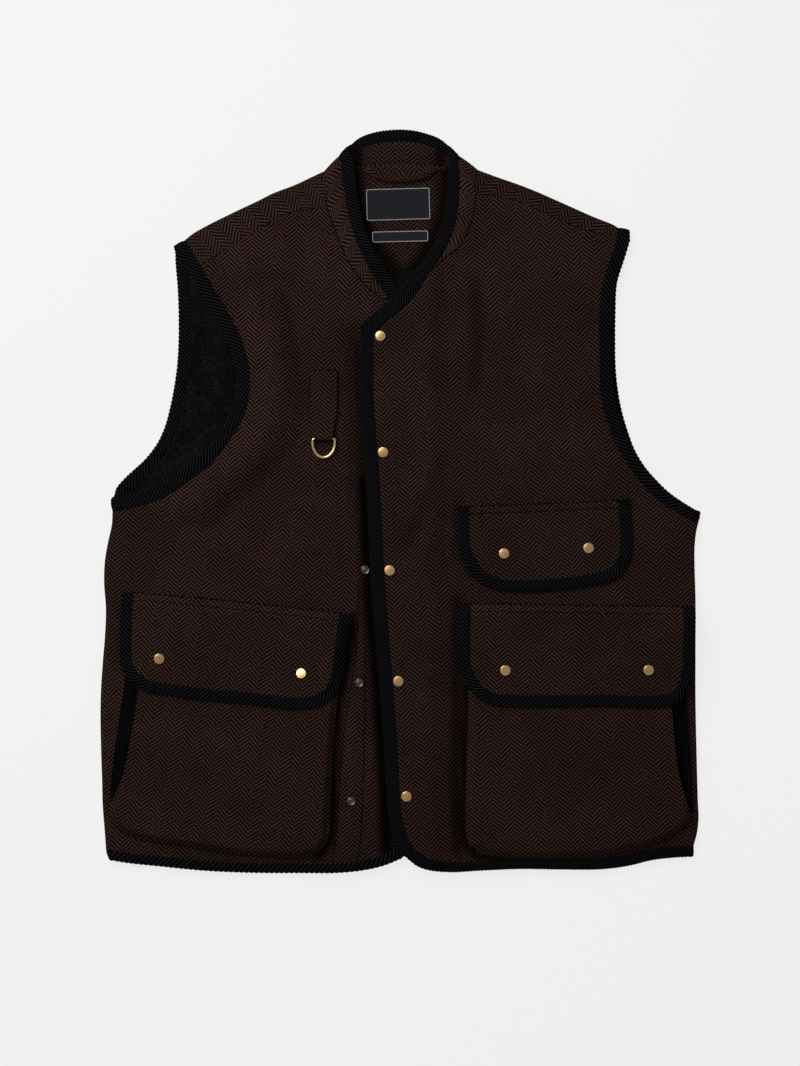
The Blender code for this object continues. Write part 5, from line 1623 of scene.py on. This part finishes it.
def addStitches(name, lines, under):
    # small rounded stitches along each line, half sunk in the cloth
    shape = newShape()
    pace = stitchLook["length"] + stitchLook["gap"]
    share = stitchLook["length"] / pace
    for line in lines:
        count = max(1, round(lengthsOf(line)[-1] / pace))
        path = [onBoard(*spot, under(spot) + aboveCloth)
                for spot in smoothRows(line, even(count))]
        for start, end in zip(path, path[1:]):
            run = (end - start).length
            size = Matrix.Diagonal((run * share, stitchLook["width"] * mm,
                                    stitchLook["height"] * mm, 1))
            turn = (end - start).to_track_quat("X", "Z").to_matrix().to_4x4()
            where = Matrix.Translation((start + end) / 2) @ turn @ size
            bmesh.ops.create_icosphere(shape, subdivisions=1, radius=0.5, matrix=where)
    placePiece(name, shape, "seam", sharp=180)


# Assembly

rightHalf = readHalf(right, rightLift)
leftHalf = readHalf(left, leftLift)
backCollar = courses(backCollarRows, cells["backNeck"])
backColumns = len(rightHalf["top"]) + len(backCollar) + len(leftHalf["top"]) - 1
betweenSides = [sideShare + (1 - 2 * sideShare) * share for share in even(backColumns)]
hemRows = smoothRows(backHem, [0] + betweenSides + [1])
hemPairs = [[row[:2], row[2:]] for row in hemRows]
print("edges are read")

addBack(rightHalf, leftHalf, backCollar, hemPairs)
addLining(rightHalf, leftHalf)
addFacing(backCollar)
addFront("front_right", rightHalf, (0, 0), 3.0)
addFront("front_left", leftHalf, (3.4, 7.0), -3.2)
addCollar(rightHalf, leftHalf, backCollar)
print("panels, lining and collar are laid")

addBindings(rightHalf, leftHalf, backCollar, hemPairs)
print("bindings are sewn")

addPocket("pocket_right", pocketRight, (2.0, 1.3))
addPocket("pocket_left", pocketLeft, (6.0, 3.1))
addGusset("gusset_right", gussetRight, "front_right")
addGusset("gusset_left", gussetLeft, "front_left")
flapTops = {
    "flap_right": addFlap("flap_right", flapRight, flapCut["rise"], (1.5, 2.2)),
    "flap_left": addFlap("flap_left", flapLeft, flapCut["rise"], (4.1, 0.7)),
    "flap_chest": addFlap("flap_chest", flapChest, 0.0, (7.3, 5.2)),
}
print("pockets and flaps are sewn on")

addTab()
addRing()
addHanger()
for label, sizes in labels.items():
    addLabel(label, *sizes)
for cap, standing in snapCaps.items():
    part = cap.split("_")[1]
    addSnap(cap, "brass", capShape, flapTops.get("flap_" + part, leftTop), *standing)
for stud, standing in snapStuds.items():
    addSnap(stud, "steel", studShape, rightTop, *standing)
print("ring, labels and snaps are on")

for flap, outline in (("flap_right", flapRight), ("flap_left", flapLeft),
                      ("flap_chest", flapChest)):
    seam = smoothRows(outline["top"], even(stitchLook["seamSteps"]))
    lines = [offsetPath(seam, -down) for down in (stitchLook["edge"], flapCut["stitchDown"])]
    addStitches("stitches_" + flap, lines, flapTops[flap])
for name, tables, top in (("right", right, rightTop), ("left", left, leftTop)):
    seam = [row[4:] for row in tables["collar"] + tables["collarTop"][1:2]]
    addStitches("stitches_collar_" + name, [seam], top)
addStitches("stitches_placket", placketLines + tabSeams, rightTop)
print("stitches are sewn")
